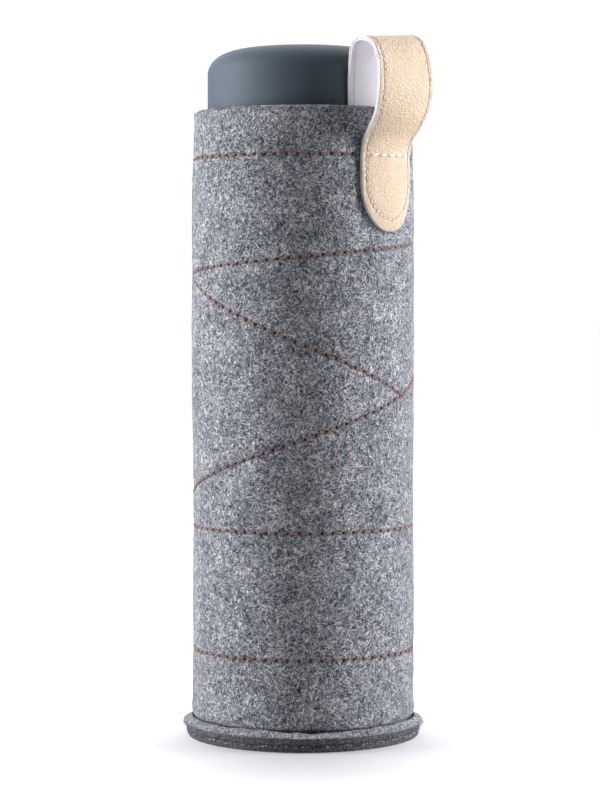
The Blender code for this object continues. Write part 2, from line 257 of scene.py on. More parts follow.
    def ramp(self, value: Socket, stops: Sequence[tuple[float, Color]]) -> Socket:
        """A colour ramp.

        Args:
            value: what is looked up.
            stops: places from 0 to 1, each with its linear colour.

        Returns:
            Its colour output.
        """
        node = self.add("ShaderNodeValToRGB")
        elements = node.color_ramp.elements
        while len(elements) < len(stops):
            elements.new(0.5)
        for element, (place, color) in zip(elements, stops):
            element.position = place
            element.color = (*color, 1.0)
        self.feed(node.inputs[0], value)
        return node.outputs[0]

    def mix(self, factor: object, first: object, second: object) -> Socket:
        """Two colours combined.

        Args:
            factor: the share of the second.
            first, second: sockets or colours.

        Returns:
            Its colour output.
        """
        node = self.add("ShaderNodeMix", data_type="RGBA")
        colors = [socket for socket in node.inputs if socket.type == "RGBA"]
        self.feed(node.inputs[0], factor)
        for socket, value in zip(colors, (first, second)):
            self.feed(socket, value if isinstance(value, Socket) else (*value, 1.0))
        return next(socket for socket in node.outputs if socket.type == "RGBA")

    def dents(self, pitch: float) -> tuple[Socket, Socket]:
        """Needle dents along a seam, read from the UV map named stitch.

        Args:
            pitch: the distance from dent to dent in millimetres.

        Returns:
            The dents and the pressed line they lie on, each from 0 to 1.
        """
        path = self.add("ShaderNodeSeparateXYZ")
        self.feed(path.inputs[0], self.uv("stitch"))
        phase = self.math("PINGPONG", path.outputs["X"], pitch / 2)
        off = self.math("ABSOLUTE", path.outputs["Y"])
        dents = self.remap(self.reach(phase, off), 0.50, 0.12, smooth=True)
        return dents, self.remap(off, 0.75, 0.1, smooth=True)

    def bump(self, height: Socket, distance: float, strength: float) -> Socket:
        """A bumped normal.

        Args:
            height: the height, about 0 to 1.
            distance: how far a height of 1 stands out, in millimetres.
            strength: the share of it that shows.

        Returns:
            The normal output.
        """
        node = self.add("ShaderNodeBump")
        node.inputs["Strength"].default_value = strength
        node.inputs["Distance"].default_value = distance * MM
        self.feed(node.inputs["Height"], height)
        return node.outputs[0]


@dataclass(frozen=True)
class StitchRun:
    """One straight run of stitches on the unrolled sleeve, in metres from its -Y line and base."""

    start: Point2
    end: Point2
    pitch: float

    @property
    def length(self) -> float:
        """The run's length in metres."""
        return math.dist(self.start, self.end)

    @property
    def direction(self) -> Point2:
        """The run's unit direction."""
        return tuple((b - a) / self.length for a, b in zip(self.start, self.end))

    @property
    def count(self) -> int:
        """How many whole stitches it holds."""
        return max(1, round(self.length / self.pitch))


@dataclass(frozen=True)
class FeltFinish:
    """Thick pressed wool felt in heather grey, with needle holes along its stitching."""

    name: str
    dark: Color = (0.018, 0.020, 0.032)
    middle: Color = (0.142, 0.150, 0.178)
    pale: Color = (0.352, 0.362, 0.400)
    light: Color = (0.800, 0.800, 0.845)
    # Near black, for the painted shade in the needle holes and in the crease at the wall's foot.
    hollow: Color = (0.006, 0.006, 0.008)
    # Colour that the base discs' lower sides are mixed towards: painted shade.
    painted_side_shade: Color = (0.004, 0.006, 0.013)
    fibre_length: float = 2.4
    fibre_width: float = 0.47
    directions: int = 6
    # Height in mm below which the base discs' lower sides get painted shade; 0 for none.
    painted_shade_below: float = 0.0
    # Height in mm below which the wall is darkened, with a ragged edge, as painted crease shade; 0 for none.
    crease_shade_below: float = 0.0
    runs: tuple[StitchRun, ...] = ()

    def fibres(self, sheet: NodeSheet, cloth: Socket) -> tuple[Socket, Socket]:
        """Light and dark fibres lying every way.

        Args:
            sheet: the node sheet.
            cloth: coordinates on the unrolled felt, in millimetres.

        Returns:
            The light fibres and the dark gaps, each from 0 to 1.
        """
        bend = sheet.noise(cloth, 0.28, 1.0).outputs["Color"]
        offset = sheet.vector("SUBTRACT", bend, (0.5, 0.5, 0.5)).outputs[0]
        curved = sheet.vector("ADD", cloth, sheet.scaled(offset, 2.2)).outputs[0]
        light, dark = None, None
        for i in range(self.directions):
            angle = 180.0 * i / self.directions + 11.0
            size = (self.fibre_length, self.fibre_width, 1.0)
            lane = sheet.noise(sheet.turned(curved, angle, size), 1.0, 1.5, 0.6).outputs[0]
            strand = sheet.remap(lane, 0.55, 0.72)
            gap = sheet.remap(lane, 0.46, 0.30)
            light = strand if light is None else sheet.math("MAXIMUM", light, strand)
            dark = gap if dark is None else sheet.math("ADD", dark, gap)
        return light, dark

    def needle_work(self, sheet: NodeSheet, cloth: Socket) -> tuple[Socket, Socket]:
        """Where the stitching pierces and presses the felt.

        Args:
            sheet: the node sheet.
            cloth: coordinates on the unrolled felt, in millimetres.

        Returns:
            The needle holes and the pressed lines, each from 0 to 1.
        """
        holes, lines = None, None
        for run in self.runs:
            length, pitch = run.length / MM, run.length / run.count / MM
            (u, v), (du, dv) = run.start, run.direction
            local = sheet.vector("SUBTRACT", cloth, (u / MM, v / MM, 0.0)).outputs[0]
            along = sheet.vector("DOT_PRODUCT", local, (du, dv, 0.0)).outputs["Value"]
            across = sheet.vector("DOT_PRODUCT", local, (-dv, du, 0.0)).outputs["Value"]
            middle = sheet.math("ABSOLUTE", sheet.math("SUBTRACT", along, length / 2))
            inside = sheet.math("LESS_THAN", middle, length / 2 + 0.6)
            phase = sheet.math("PINGPONG", along, pitch / 2)
            side = sheet.math("ABSOLUTE", across)
            pierced = sheet.remap(sheet.reach(phase, side), 0.80, 0.30, smooth=True)
            hole = sheet.math("MULTIPLY", pierced, inside)
            line = sheet.math("MULTIPLY", sheet.remap(side, 1.3, 0.2, smooth=True), inside)
            holes = hole if holes is None else sheet.math("MAXIMUM", holes, hole)
            lines = line if lines is None else sheet.math("MAXIMUM", lines, line)
        return holes, lines

    def material(self) -> Material:
        """Makes the felt.

        Returns:
            The material. It reads the UV map named cloth.
        """
        sheet = NodeSheet(self.name)
        cloth = sheet.uv("cloth")
        light, dark = self.fibres(sheet, cloth)
        patches = sheet.noise(cloth, 0.10, 4.0, 0.62).outputs[0]
        grit = sheet.noise(cloth, 2.1, 2.0, 0.7).outputs[0]
        tone = sheet.math("MULTIPLY", light, 0.66)
        tone = sheet.math("SUBTRACT", tone, sheet.math("MULTIPLY", dark, 0.20))
        tone = sheet.math("ADD", tone, sheet.remap(patches, 0.25, 0.75, 0.20, 0.54))
        tone = sheet.math("ADD", tone, sheet.remap(grit, 0.28, 0.72, -0.23, 0.23))
        level = sheet.add("ShaderNodeSeparateXYZ")
        sheet.feed(level.inputs[0], sheet.place())
        # Painted shade: below a set height the base discs' lower sides are made darker, keeping some light
        # flecks, to stand in for the shade on these downward-facing sides; the mask named cut marks this
        # painted shade, not a cut edge.
        if self.painted_shade_below:
            cut = sheet.remap(level.outputs["Z"], self.painted_shade_below, self.painted_shade_below - 0.4)
            bright = sheet.math("MULTIPLY_ADD", light, 0.66, -0.42)
            tone = sheet.math("MULTIPLY_ADD", cut, bright, tone)
        stops = [(0.0, self.dark), (0.34, self.middle), (0.66, self.pale), (1.0, self.light)]
        color = sheet.ramp(tone, stops)
        if self.painted_shade_below:
            shade = sheet.math("MULTIPLY_ADD", light, -0.55, 0.84)
            shade = sheet.math("MULTIPLY", cut, sheet.math("MAXIMUM", shade, 0.0))
            color = sheet.mix(shade, color, self.painted_side_shade)
        height = sheet.math("ADD", light, sheet.math("MULTIPLY", dark, -0.25))
        height = sheet.math("ADD", height, sheet.math("MULTIPLY", grit, 0.6))
        # Painted shade: below a ragged line just above the base the wall is mixed towards near black,
        # standing in for the shade in the crease where the wall meets the base.
        if self.crease_shade_below:
            ragged = sheet.math("MULTIPLY_ADD", grit, 1.6, level.outputs["Z"])
            crease = sheet.remap(ragged, self.crease_shade_below + 1.5, self.crease_shade_below + 0.5)
            color = sheet.mix(sheet.math("MULTIPLY", crease, 0.88), color, self.hollow)
        if self.runs:
            holes, lines = self.needle_work(sheet, cloth)
            # Painted shade: the needle holes are mixed to near black and the pressed stitch lines towards the
            # darkest fibre colour, standing in for the shade in them.
            color = sheet.mix(holes, color, self.hollow)
            color = sheet.mix(sheet.math("MULTIPLY", lines, 0.42), color, self.dark)
            height = sheet.math("SUBTRACT", height, sheet.math("MULTIPLY", holes, 3.0))
        sheet.set(Base_Color=color, Roughness=0.95, Specular_IOR_Level=0.15, Sheen_Weight=0.22,
                  Sheen_Roughness=0.6, Sheen_Tint=(0.93, 0.95, 1.0, 1.0),
                  Normal=sheet.bump(height, 0.20, 0.9))
        return sheet.material


@dataclass(frozen=True)
class FuzzFinish:
    """Loose wool fibres that stand off the felt, each a little different."""

    name: str
    dark: Color = (0.05, 0.054, 0.064)
    light: Color = (0.62, 0.63, 0.66)

    def material(self) -> Material:
        """Makes the loose fibre's material.

        Returns:
            The material.
        """
        sheet = NodeSheet(self.name)
        pick = sheet.add("ShaderNodeNewGeometry").outputs["Random Per Island"]
        streak = sheet.noise(sheet.place(), 0.8, 1.0).outputs[0]
        tone = sheet.math("ADD", pick, sheet.remap(streak, 0.3, 0.7, -0.12, 0.12), clamp=True)
        sheet.set(Base_Color=sheet.ramp(tone, [(0.15, self.dark), (0.9, self.light)]), Roughness=0.9,
                  Specular_IOR_Level=0.2, Sheen_Weight=0.3, Sheen_Roughness=0.5)
        return sheet.material


@dataclass(frozen=True)
class ThreadFinish:
    """Spun thread: fine lint and a slow change of shade along it."""

    name: str
    shade: Color
    light: Color
    roughness: float = 0.62

    def material(self) -> Material:
        """Makes the thread's material.

        Returns:
            The material.
        """
        sheet = NodeSheet(self.name)
        place = sheet.place()
        shade = sheet.noise(place, 0.35, 2.0).outputs[0]
        lint = sheet.noise(place, 6.0, 2.0, 0.7).outputs[0]
        tone = sheet.math("ADD", sheet.remap(shade, 0.3, 0.7, 0.0, 0.6),
                          sheet.remap(lint, 0.35, 0.65, 0.0, 0.4))
        sheet.set(Base_Color=sheet.ramp(tone, [(0.1, self.shade), (0.9, self.light)]),
                  Roughness=sheet.remap(lint, 0.3, 0.7, self.roughness - 0.1, self.roughness + 0.1),
                  Specular_IOR_Level=0.3, Sheen_Weight=0.15, Normal=sheet.bump(lint, 0.04, 0.8))
        return sheet.material


@dataclass(frozen=True)
class LeatherFinish:
    """Cream leather with a pebbled grain, soft creases and needle dents beside its edge stitching, and
    painted shade in the grain's valleys, the creases, the stitch furrow and the dents.
    """

    name: str
    # Darker leather colour, used for the painted shade in the grain's valleys, the creases and the stitch
    # furrow.
    shade: Color = (0.52, 0.37, 0.25)
    base: Color = (0.695, 0.528, 0.390)
    light: Color = (0.750, 0.604, 0.466)
    cut: Color = (0.92, 0.88, 0.85)
    # Colour of the painted shade in the needle dents.
    hollow: Color = (0.40, 0.29, 0.20)
    pebble: float = 1.45
    face_width: float = 26.0
    stitch_pitch: float = 2.2

    def material(self) -> Material:
        """Makes the leather.

        Returns:
            The material. It reads the UV maps named cloth and stitch.
        """
        sheet = NodeSheet(self.name)
        cloth = sheet.uv("cloth")
        warp = sheet.noise(cloth, 0.7, 2.0).outputs["Color"]
        offset = sheet.scaled(sheet.vector("SUBTRACT", warp, (0.5, 0.5, 0.5)).outputs[0], 1.1)
        skin = sheet.vector("ADD", cloth, offset).outputs[0]
        coarse = sheet.voronoi(skin, 1.0 / self.pebble, "SMOOTH_F1")
        fine = sheet.voronoi(skin, 2.3 / self.pebble)
        edges = sheet.voronoi(skin, 1.0 / self.pebble, "DISTANCE_TO_EDGE")
        patches = sheet.noise(cloth, 0.12, 3.0, 0.6).outputs[0]
        pores = sheet.noise(cloth, 4.5, 2.0, 0.6).outputs[0]
        creases = sheet.noise(sheet.turned(cloth, 8.0, (2.2, 0.8, 1.0)), 1.0, 3.0, 0.65, 0.8).outputs[0]
        valley = sheet.remap(edges, 0.0, 0.16, 1.0, 0.0, smooth=True)
        crease = sheet.remap(creases, 0.47, 0.36, smooth=True)
        dent, furrow = sheet.dents(self.stitch_pitch)
        color = sheet.ramp(sheet.remap(patches, 0.3, 0.7), [(0.0, self.base), (1.0, self.light)])
        # Painted shade: the grain's valleys, the creases, the pressed stitch furrow and the needle dents are
        # mixed towards darker colours, standing in for the shade in these recesses.
        color = sheet.mix(sheet.math("MULTIPLY", valley, 0.36), color, self.shade)
        color = sheet.mix(sheet.math("MULTIPLY", crease, 0.22), color, self.shade)
        color = sheet.mix(sheet.math("MULTIPLY", furrow, 0.16), color, self.shade)
        color = sheet.mix(sheet.math("MULTIPLY", dent, 0.34), color, self.hollow)
        flat = sheet.add("ShaderNodeSeparateXYZ")
        sheet.feed(flat.inputs[0], cloth)
        raw = sheet.remap(flat.outputs["X"], self.face_width, self.face_width + 0.3)
        color = sheet.mix(raw, color, self.cut)
        pebbles = sheet.math("MULTIPLY", sheet.remap(edges, 0.0, 0.35, smooth=True), 0.7)
        height = sheet.math("SUBTRACT", pebbles, sheet.math("MULTIPLY", crease, 0.45))
        height = sheet.math("SUBTRACT", height, sheet.math("MULTIPLY", coarse, 0.25))
        height = sheet.math("SUBTRACT", height, sheet.math("MULTIPLY", fine, 0.09))
        height = sheet.math("ADD", height, sheet.math("MULTIPLY", pores, 0.03))
        height = sheet.math("SUBTRACT", height, sheet.math("MULTIPLY", dent, 1.6))
        sheet.set(Base_Color=color, Roughness=sheet.remap(pores, 0.3, 0.7, 0.50, 0.64),
                  Specular_IOR_Level=0.35, Normal=sheet.bump(height, 0.26, 0.8))
        return sheet.material


@dataclass(frozen=True)
class LiningFinish:
    """Pale brushed microfibre: short nap and faint pressed creases."""

    name: str
    shade: Color = (0.84, 0.82, 0.86)
    light: Color = (0.96, 0.94, 0.97)
    # Colour of the painted shade in the needle dents.
    hollow: Color = (0.40, 0.37, 0.39)
    stitch_pitch: float = 2.2

    def material(self) -> Material:
        """Makes the lining. It reads the UV maps named cloth and stitch.

        Returns:
            The material.
        """
        sheet = NodeSheet(self.name)
        cloth = sheet.uv("cloth")
        nap = sheet.noise(sheet.turned(cloth, 84.0, (1.3, 0.35, 1.0)), 1.0, 3.0, 0.65, 0.5).outputs[0]
        patches = sheet.noise(cloth, 0.16, 2.0).outputs[0]
        tone = sheet.math("ADD", sheet.remap(nap, 0.3, 0.7, 0.0, 0.55),
                          sheet.remap(patches, 0.3, 0.7, 0.0, 0.45))
        color = sheet.ramp(tone, [(0.0, self.shade), (1.0, self.light)])
        dent, furrow = sheet.dents(self.stitch_pitch)
        # Painted shade: the needle dents are mixed towards a dark colour, standing in for the shade in them.
        color = sheet.mix(sheet.math("MULTIPLY", dent, 0.35), color, self.hollow)
        nap = sheet.math("SUBTRACT", nap, sheet.math("ADD", dent, sheet.math("MULTIPLY", furrow, 0.6)))
        sheet.set(Base_Color=color, Roughness=0.9, Specular_IOR_Level=0.15, Sheen_Weight=0.35,
                  Sheen_Roughness=0.5, Normal=sheet.bump(nap, 0.12, 0.8))
        return sheet.material


@dataclass(frozen=True)
class SoftTouchFinish:
    """Matt slate coating over plastic or steel: faint orange peel, dust and rubbed patches."""

    name: str
    base: Color = (0.086, 0.116, 0.150)
    rubbed: Color = (0.094, 0.126, 0.161)
    roughness: float = 0.62
    specular: float = 0.27

    def material(self) -> Material:
        """Makes the coating.

        Returns:
            The material.
        """
        sheet = NodeSheet(self.name)
        place = sheet.place()
        patches = sheet.noise(place, 0.035, 4.0, 0.6).outputs[0]
        peel = sheet.noise(place, 1.6, 2.0, 0.5).outputs[0]
        grit = sheet.noise(place, 9.0, 1.0).outputs[0]
        color = sheet.ramp(sheet.remap(patches, 0.3, 0.7), [(0.0, self.base), (1.0, self.rubbed)])
        sheet.set(Base_Color=color,
                  Roughness=sheet.remap(patches, 0.3, 0.7, self.roughness - 0.03, self.roughness + 0.04),
                  Specular_IOR_Level=self.specular,
                  Normal=sheet.bump(sheet.math("ADD", peel, sheet.math("MULTIPLY", grit, 0.4)), 0.012, 0.6))
        return sheet.material


@dataclass(frozen=True)
class SteelFinish:
    """Stainless steel spun in a lathe: fine rings round the axis."""

    name: str
    shade: Color = (0.42, 0.42, 0.43)
    light: Color = (0.66, 0.66, 0.67)

    def material(self) -> Material:
        """Makes the steel.

        Returns:
            The material.
        """
        sheet = NodeSheet(self.name)
        rings = sheet.noise(sheet.turned(sheet.place(), 0.0, (60.0, 60.0, 0.18)), 1.0, 3.0, 0.7).outputs[0]
        patches = sheet.noise(sheet.place(), 0.06, 3.0).outputs[0]
        tone = sheet.math("ADD", sheet.remap(rings, 0.3, 0.7, 0.0, 0.7),
                          sheet.remap(patches, 0.3, 0.7, 0.0, 0.3))
        sheet.set(Base_Color=sheet.ramp(tone, [(0.0, self.shade), (1.0, self.light)]), Metallic=1.0,
                  Roughness=sheet.remap(rings, 0.3, 0.7, 0.24, 0.42), Normal=sheet.bump(rings, 0.01, 0.5))
        return sheet.material


@dataclass(frozen=True)
class MouldedFinish:
    """Moulded plastic, silicone or foam: a fine skin texture over slow patches of shade."""

    name: str
    base: Color
    light: Color
    roughness: float = 0.5
    grain: float = 3.0
    depth: float = 0.02

    def material(self) -> Material:
        """Makes the moulded material.

        Returns:
            The material.
        """
        sheet = NodeSheet(self.name)
        place = sheet.place()
        patches = sheet.noise(place, 0.07, 3.0).outputs[0]
        skin = sheet.noise(place, self.grain, 2.0, 0.6).outputs[0]
        color = sheet.ramp(sheet.remap(patches, 0.3, 0.7), [(0.0, self.base), (1.0, self.light)])
        sheet.set(Base_Color=color,
                  Roughness=sheet.remap(skin, 0.3, 0.7, self.roughness - 0.07, self.roughness + 0.07),
                  Specular_IOR_Level=0.4, Normal=sheet.bump(skin, self.depth, 0.7))
        return sheet.material


# ---------------------------------------------------------------- shapes


def make_piece(name: str, points: Array, faces: Sequence[Sequence[int]], material: Material,
               maps: Optional[dict[str, Array]] = None) -> Piece:
    """Makes a smooth-shaded mesh piece.

    Args:
        name: the piece's name.
        points: its vertices, one row each, in metres.
        faces: its faces as lists of vertex numbers.
        material: its material.
        maps: UV maps by name, each with one row for each face corner, in metres.

    Returns:
        The new object.
    """
    mesh = bpy.data.meshes.new(name)
    mesh.from_pydata(points.tolist(), [], faces)
    for key, corners in (maps or {}).items():
        layer = mesh.uv_layers.new(name=key)
        layer.data.foreach_set("uv", np.ascontiguousarray(corners, dtype=np.float32).ravel())
    mesh.materials.append(material)
    mesh.shade_smooth()
    mesh.update()
    piece = bpy.data.objects.new(name, mesh)
    bpy.context.scene.collection.objects.link(piece)
    return piece


def settle(piece: Piece, body: str, node: Optional[str] = None) -> Piece:
    """Puts a piece on its body and hides the CAD node that it stands for, if any.

    Args:
        piece: the piece.
        body: the body it rides on.
        node: the CAD node that it replaces, if it does.

    Returns:
        The piece.
    """
    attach(piece, body)
    if node is not None:
        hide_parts(node)
    return piece


def grid_faces(rows: int, columns: int, wrap_rows: bool, wrap_columns: bool) -> Array:
    """Quads between the points of a grid that is stored row by row.

    Args:
        rows: how many rows of points.
        columns: how many points in a row.
        wrap_rows: whether the last row joins the first.
        wrap_columns: whether each row closes on itself.

    Returns:
        Four vertex numbers for each quad.
    """
    i = np.arange(rows if wrap_rows else rows - 1)[:, None]
    j = np.arange(columns if wrap_columns else columns - 1)[None, :]
    below, beside = (i + 1) % rows, (j + 1) % columns
    corners = (i * columns + j, below * columns + j, below * columns + beside, i * columns + beside)
    return np.stack(np.broadcast_arrays(*corners), axis=-1).reshape(-1, 4)


def arc(radius: float, height: float, size: float, start: float, end: float, count: int) -> list[Point2]:
    """Points of a round edge in a profile. Degrees, 0 is outward and 90 is up."""
    angles = [math.radians(start + (end - start) * i / count) for i in range(count + 1)]
    return [(radius + size * math.cos(a), height + size * math.sin(a)) for a in angles]


def fine_profile(profile: Sequence[Point2], step: float, closed: bool) -> Array:
    """A profile with points added along its long runs.

    Args:
        profile: its (radius, height) points.
        step: the longest run that stays whole.
        closed: whether its last point joins its first.

    Returns:
        The points, one row each.
    """
    points = list(profile) + ([profile[0]] if closed else [])
    made = []
    for a, b in zip(points, points[1:]):
        count = max(1, math.ceil(math.dist(a, b) / step))
        for i in range(count):
            made.append((a[0] + (b[0] - a[0]) * i / count, a[1] + (b[1] - a[1]) * i / count))
    if not closed:
        made.append(points[-1])
    return np.array(made)


class Unroll(Enum):
    """How a turned piece's UV map is laid out."""

    WALL = "arc length round it, and height"
    DISC = "flat, spread from the centre"


@dataclass
class Turned:
    """A round piece made by turning a profile about the sleeve's axis.

    The profile's outer side runs down. A profile that meets the axis starts and ends there.
    """

    name: str
    profile: Sequence[Point2]
    material: Material
    closed: bool = False
    columns: int = 144
    step: float = 6.0 * MM
    unroll: Unroll = Unroll.WALL
    relief: Optional[Relief] = None

    def build(self) -> Piece:
        """Makes the piece.

        Returns:
            The new object, with a UV map named cloth.
        """
        profile = fine_profile(self.profile, self.step, self.closed)
        rows = len(profile)
        bearing = np.linspace(-math.pi, math.pi, self.columns, endpoint=False)
        around, radius = np.meshgrid(bearing, profile[:, 0])
        height = np.repeat(profile[:, 1:2], self.columns, axis=1)
        if self.relief is not None:
            before, after = np.roll(profile, 1, axis=0), np.roll(profile, -1, axis=0)
            if not self.closed:
                before[0], after[-1] = profile[0], profile[-1]
            run = after - before
            run /= np.linalg.norm(run, axis=1)[:, None]
            push = self.relief(around, height)
            radius = radius - run[:, 1:2] * push
            height = height + run[:, 0:1] * push
        points = np.stack([radius * np.sin(around), -radius * np.cos(around), height], axis=-1)
        faces = grid_faces(rows, self.columns, self.closed, True)
        cloth = self.cloth_map(profile, faces, rows)
        points, quads, cloth = self.close_poles(points.reshape(-1, 3), faces, cloth, rows)
        return make_piece(self.name, points, quads, self.material, {"cloth": cloth})

    def cloth_map(self, profile: Array, faces: Array, rows: int) -> Array:
        """The UV map's corners, in metres, before the poles are closed.

        Args:
            profile: the fine profile.
            faces: the grid's quads.
            rows: how many rows it has.

        Returns:
            Four corners for each quad.
        """
        run = np.concatenate([[0.0], np.cumsum(np.linalg.norm(np.diff(profile, axis=0), axis=1))])
        i, j = faces // self.columns, faces % self.columns
        last = j.max(axis=1, keepdims=True) == self.columns - 1
        turn = np.where(last & (j == 0), self.columns, j) / self.columns * 2 * math.pi - math.pi
        wrapped = (i.max(axis=1, keepdims=True) == rows - 1) & (i == 0) & self.closed
        loop = run[-1] + math.dist(profile[-1], profile[0])
        along = np.where(wrapped, loop, run[i])
        if self.unroll is Unroll.WALL:
            outer = profile[:, 0].max()
            down = profile[np.argmax(profile[:, 0]), 1] + run[np.argmax(profile[:, 0])]
            return np.stack([turn * outer, down - along], axis=-1).reshape(-1, 2)
        reach = np.where(along < run[-1] / 2, along, run[-1] - along + 0.2)
        return np.stack([reach * np.sin(turn), -reach * np.cos(turn)], axis=-1).reshape(-1, 2)

    def close_poles(self, points: Array, faces: Array, cloth: Array,
                    rows: int) -> tuple[Array, list[list[int]], Array]:
        """Joins each ring that lies on the axis into one point, which makes its quads triangles.

        Args:
            points: the grid's points.
            faces: its quads.
            cloth: the UV map's corners, four for each quad.
            rows: how many rows the grid has.

        Returns:
            The points, the faces and the UV map's corners.
        """
        made = faces.tolist()
        if self.closed:
            return points, made, cloth
        columns, last = self.columns, (rows - 1) * self.columns
        index = np.arange(len(points)) - (columns - 1)
        index[:columns] = 0
        index[last:] = last - (columns - 1)
        made = index[faces].tolist()
        first_end = len(made) - columns
        made[:columns] = [quad[:3] for quad in made[:columns]]
        made[first_end:] = [[quad[0], quad[1], quad[3]] for quad in made[first_end:]]
        corners = [part[: len(face)] for part, face in zip(cloth.reshape(-1, 4, 2), made)]
        return np.concatenate([points[:1], points[columns:last], points[-1:]]), made, np.concatenate(corners)


class SmoothNoise:
    """Slow random relief that joins up round the sleeve: a seeded lattice, smoothly blended."""

    def __init__(self, seed: int, around: int, cell: float) -> None:
        """Sets up the lattice.

        Args:
            seed: which relief it is.
            around: how many cells go round.
            cell: the height of a cell in metres.
        """
        self.around, self.cell = around, cell
        self.values = np.random.default_rng(seed).uniform(-1.0, 1.0, (512, around))

    def at(self, bearing: Array, height: Array) -> Array:
        """The relief at bearings in radians and heights in metres, from -1 to 1.

        Args:
            bearing: radians.
            height: metres.

        Returns:
            The relief.
        """
        u = (bearing / (2 * math.pi) + 0.5) % 1.0 * self.around
        v = np.asarray(height) / self.cell + 64.0
        i, j = np.floor(v).astype(int), np.floor(u).astype(int)
        s, t = v - i, u - j
        s, t = s * s * (3 - 2 * s), t * t * (3 - 2 * t)
        i, j, k = i % 512, j % self.around, (j + 1) % self.around
        upper = self.values[i, j] * (1 - t) + self.values[i, k] * t
        lower = self.values[(i + 1) % 512, j] * (1 - t) + self.values[(i + 1) % 512, k] * t
        return upper * (1 - s) + lower * s


@dataclass
class Stitches:
    """A row of separate lockstitches: twisted thread that dives into a hole at each end."""

    name: str
    material: Material
    radius: float
    rise: float
    sink: float
    lean: float = 0.20 * MM
    sections: int = 15
    sides: int = 9
    plies: int = 3

    def build(self, place: Callable[[Array], tuple[Array, Array]],
              spans: Sequence[Point2], seed: int) -> Piece:
        """Makes every stitch of the row as one piece.

        Args:
            place: gives the surface point and its normal at distances along the row.
            spans: where each stitch starts and ends along the row.
            seed: which small irregularities it has.

        Returns:
            The new object.
        """
        chance = np.random.default_rng(seed)
        points, faces = [], []
        ring = np.arange(self.sides) / self.sides * 2 * math.pi
        for start, end in spans:
            t = 0.5 - 0.5 * np.cos(np.linspace(0.0, math.pi, self.sections))
            base, normal = place(start + (end - start) * t)
            arch = 1.0 - np.abs(2 * t - 1.0) ** 5
            height = -self.sink + (self.sink + self.rise * chance.uniform(0.88, 1.12)) * arch
            tangent = np.gradient(base, axis=0)
            tangent /= np.linalg.norm(tangent, axis=1)[:, None]
            side = np.cross(normal, tangent)
            shift = self.lean * (2 * t - 1.0) + chance.normal(0.0, 0.15) * self.lean
            line = base + normal * height[:, None] + side * shift[:, None]
            along = np.gradient(line, axis=0)
            along /= np.linalg.norm(along, axis=1)[:, None]
            up = np.cross(along, side)
            up /= np.linalg.norm(up, axis=1)[:, None]
            across = np.cross(along, up)
            twist = chance.uniform(0.0, 6.0) + (end - start) * t / (2.6 * self.radius)
            lobes = 1.0 + 0.13 * np.cos(self.plies * (ring[None, :] - twist[:, None]))
            reach = self.radius * lobes * (0.72 + 0.28 * arch[:, None] ** 0.5)
            spokes = (np.cos(ring)[None, :, None] * up[:, None, :]
                      + np.sin(ring)[None, :, None] * across[:, None, :])
            tube = line[:, None, :] + reach[..., None] * spokes
            first = sum(len(p) for p in points)
            quads = grid_faces(self.sections, self.sides, False, True)[:, ::-1] + first
            faces += quads.tolist()
            faces.append([first + k for k in reversed(range(self.sides))])
            last = first + (self.sections - 1) * self.sides
            faces.append([last + k for k in range(self.sides)])
            points.append(tube.reshape(-1, 3))
        return make_piece(self.name, np.concatenate(points), faces, self.material)


def even_spans(length: float, count: int, hole: float) -> list[Point2]:
    """Where each of a row's stitches starts and ends, with a hole's width between neighbours."""
    pitch = length / count
    return [(i * pitch + hole / 2, (i + 1) * pitch - hole / 2) for i in range(count)]


# ---------------------------------------------------------------- felt sleeve


@dataclass
class Topstitching:
    """The sleeve's stitched runs. Bearings in degrees and heights in metres, from corner to corner."""

    pitch: float = 4.0 * MM
    hole: float = 0.80 * MM
    sag: float = 0.35 * MM
    seam_margin: float = 2.0
    loop_margin: float = 20.7
    zigzag_start: Point2 = (178.0, 190.6 * MM)
    zigzag_left: Point2 = (-132.0, 170.5 * MM)
    zigzag_right: Point2 = (16.6, 126.0 * MM)
    lower_start: Point2 = (178.0, 166.2 * MM)
    lower_end: Point2 = (-172.5, 80.2 * MM)
    runs: dict[str, list[Point2]] = field(default_factory=dict)

    def __post_init__(self) -> None:
        """Sets each thread's corners. The level runs take their heights from the frame."""
        seam = 180.0 - self.seam_margin
        level = {node: sum(corner.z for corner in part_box(node)) / 2
                 for node in ("top_thread_left", "top_thread_right", "middle_thread", "lower_thread")}
        top = level["top_thread_left"]
        middle, lower = level["middle_thread"] - self.sag, level["lower_thread"] - self.sag
        self.runs = {
            "top_thread_left": [(-seam, top), (-self.loop_margin, top)],
            "top_thread_right": [(self.loop_margin, top), (seam, top)],
            "zigzag_thread_upper": [self.zigzag_start, self.zigzag_left, self.zigzag_right],
            "zigzag_thread_lower": [self.lower_start, self.lower_end],
            "middle_thread": [(-seam, middle), (seam, middle)],
            "lower_thread": [(-seam, lower), (seam, lower)],
        }

    def straight_runs(self, name: str, radius: float) -> list[StitchRun]:
        """A thread's straight runs on the sleeve unrolled at a radius."""
        flat = [(math.radians(bearing) * radius, height) for bearing, height in self.runs[name]]
        return [StitchRun(a, b, self.pitch) for a, b in zip(flat, flat[1:])]


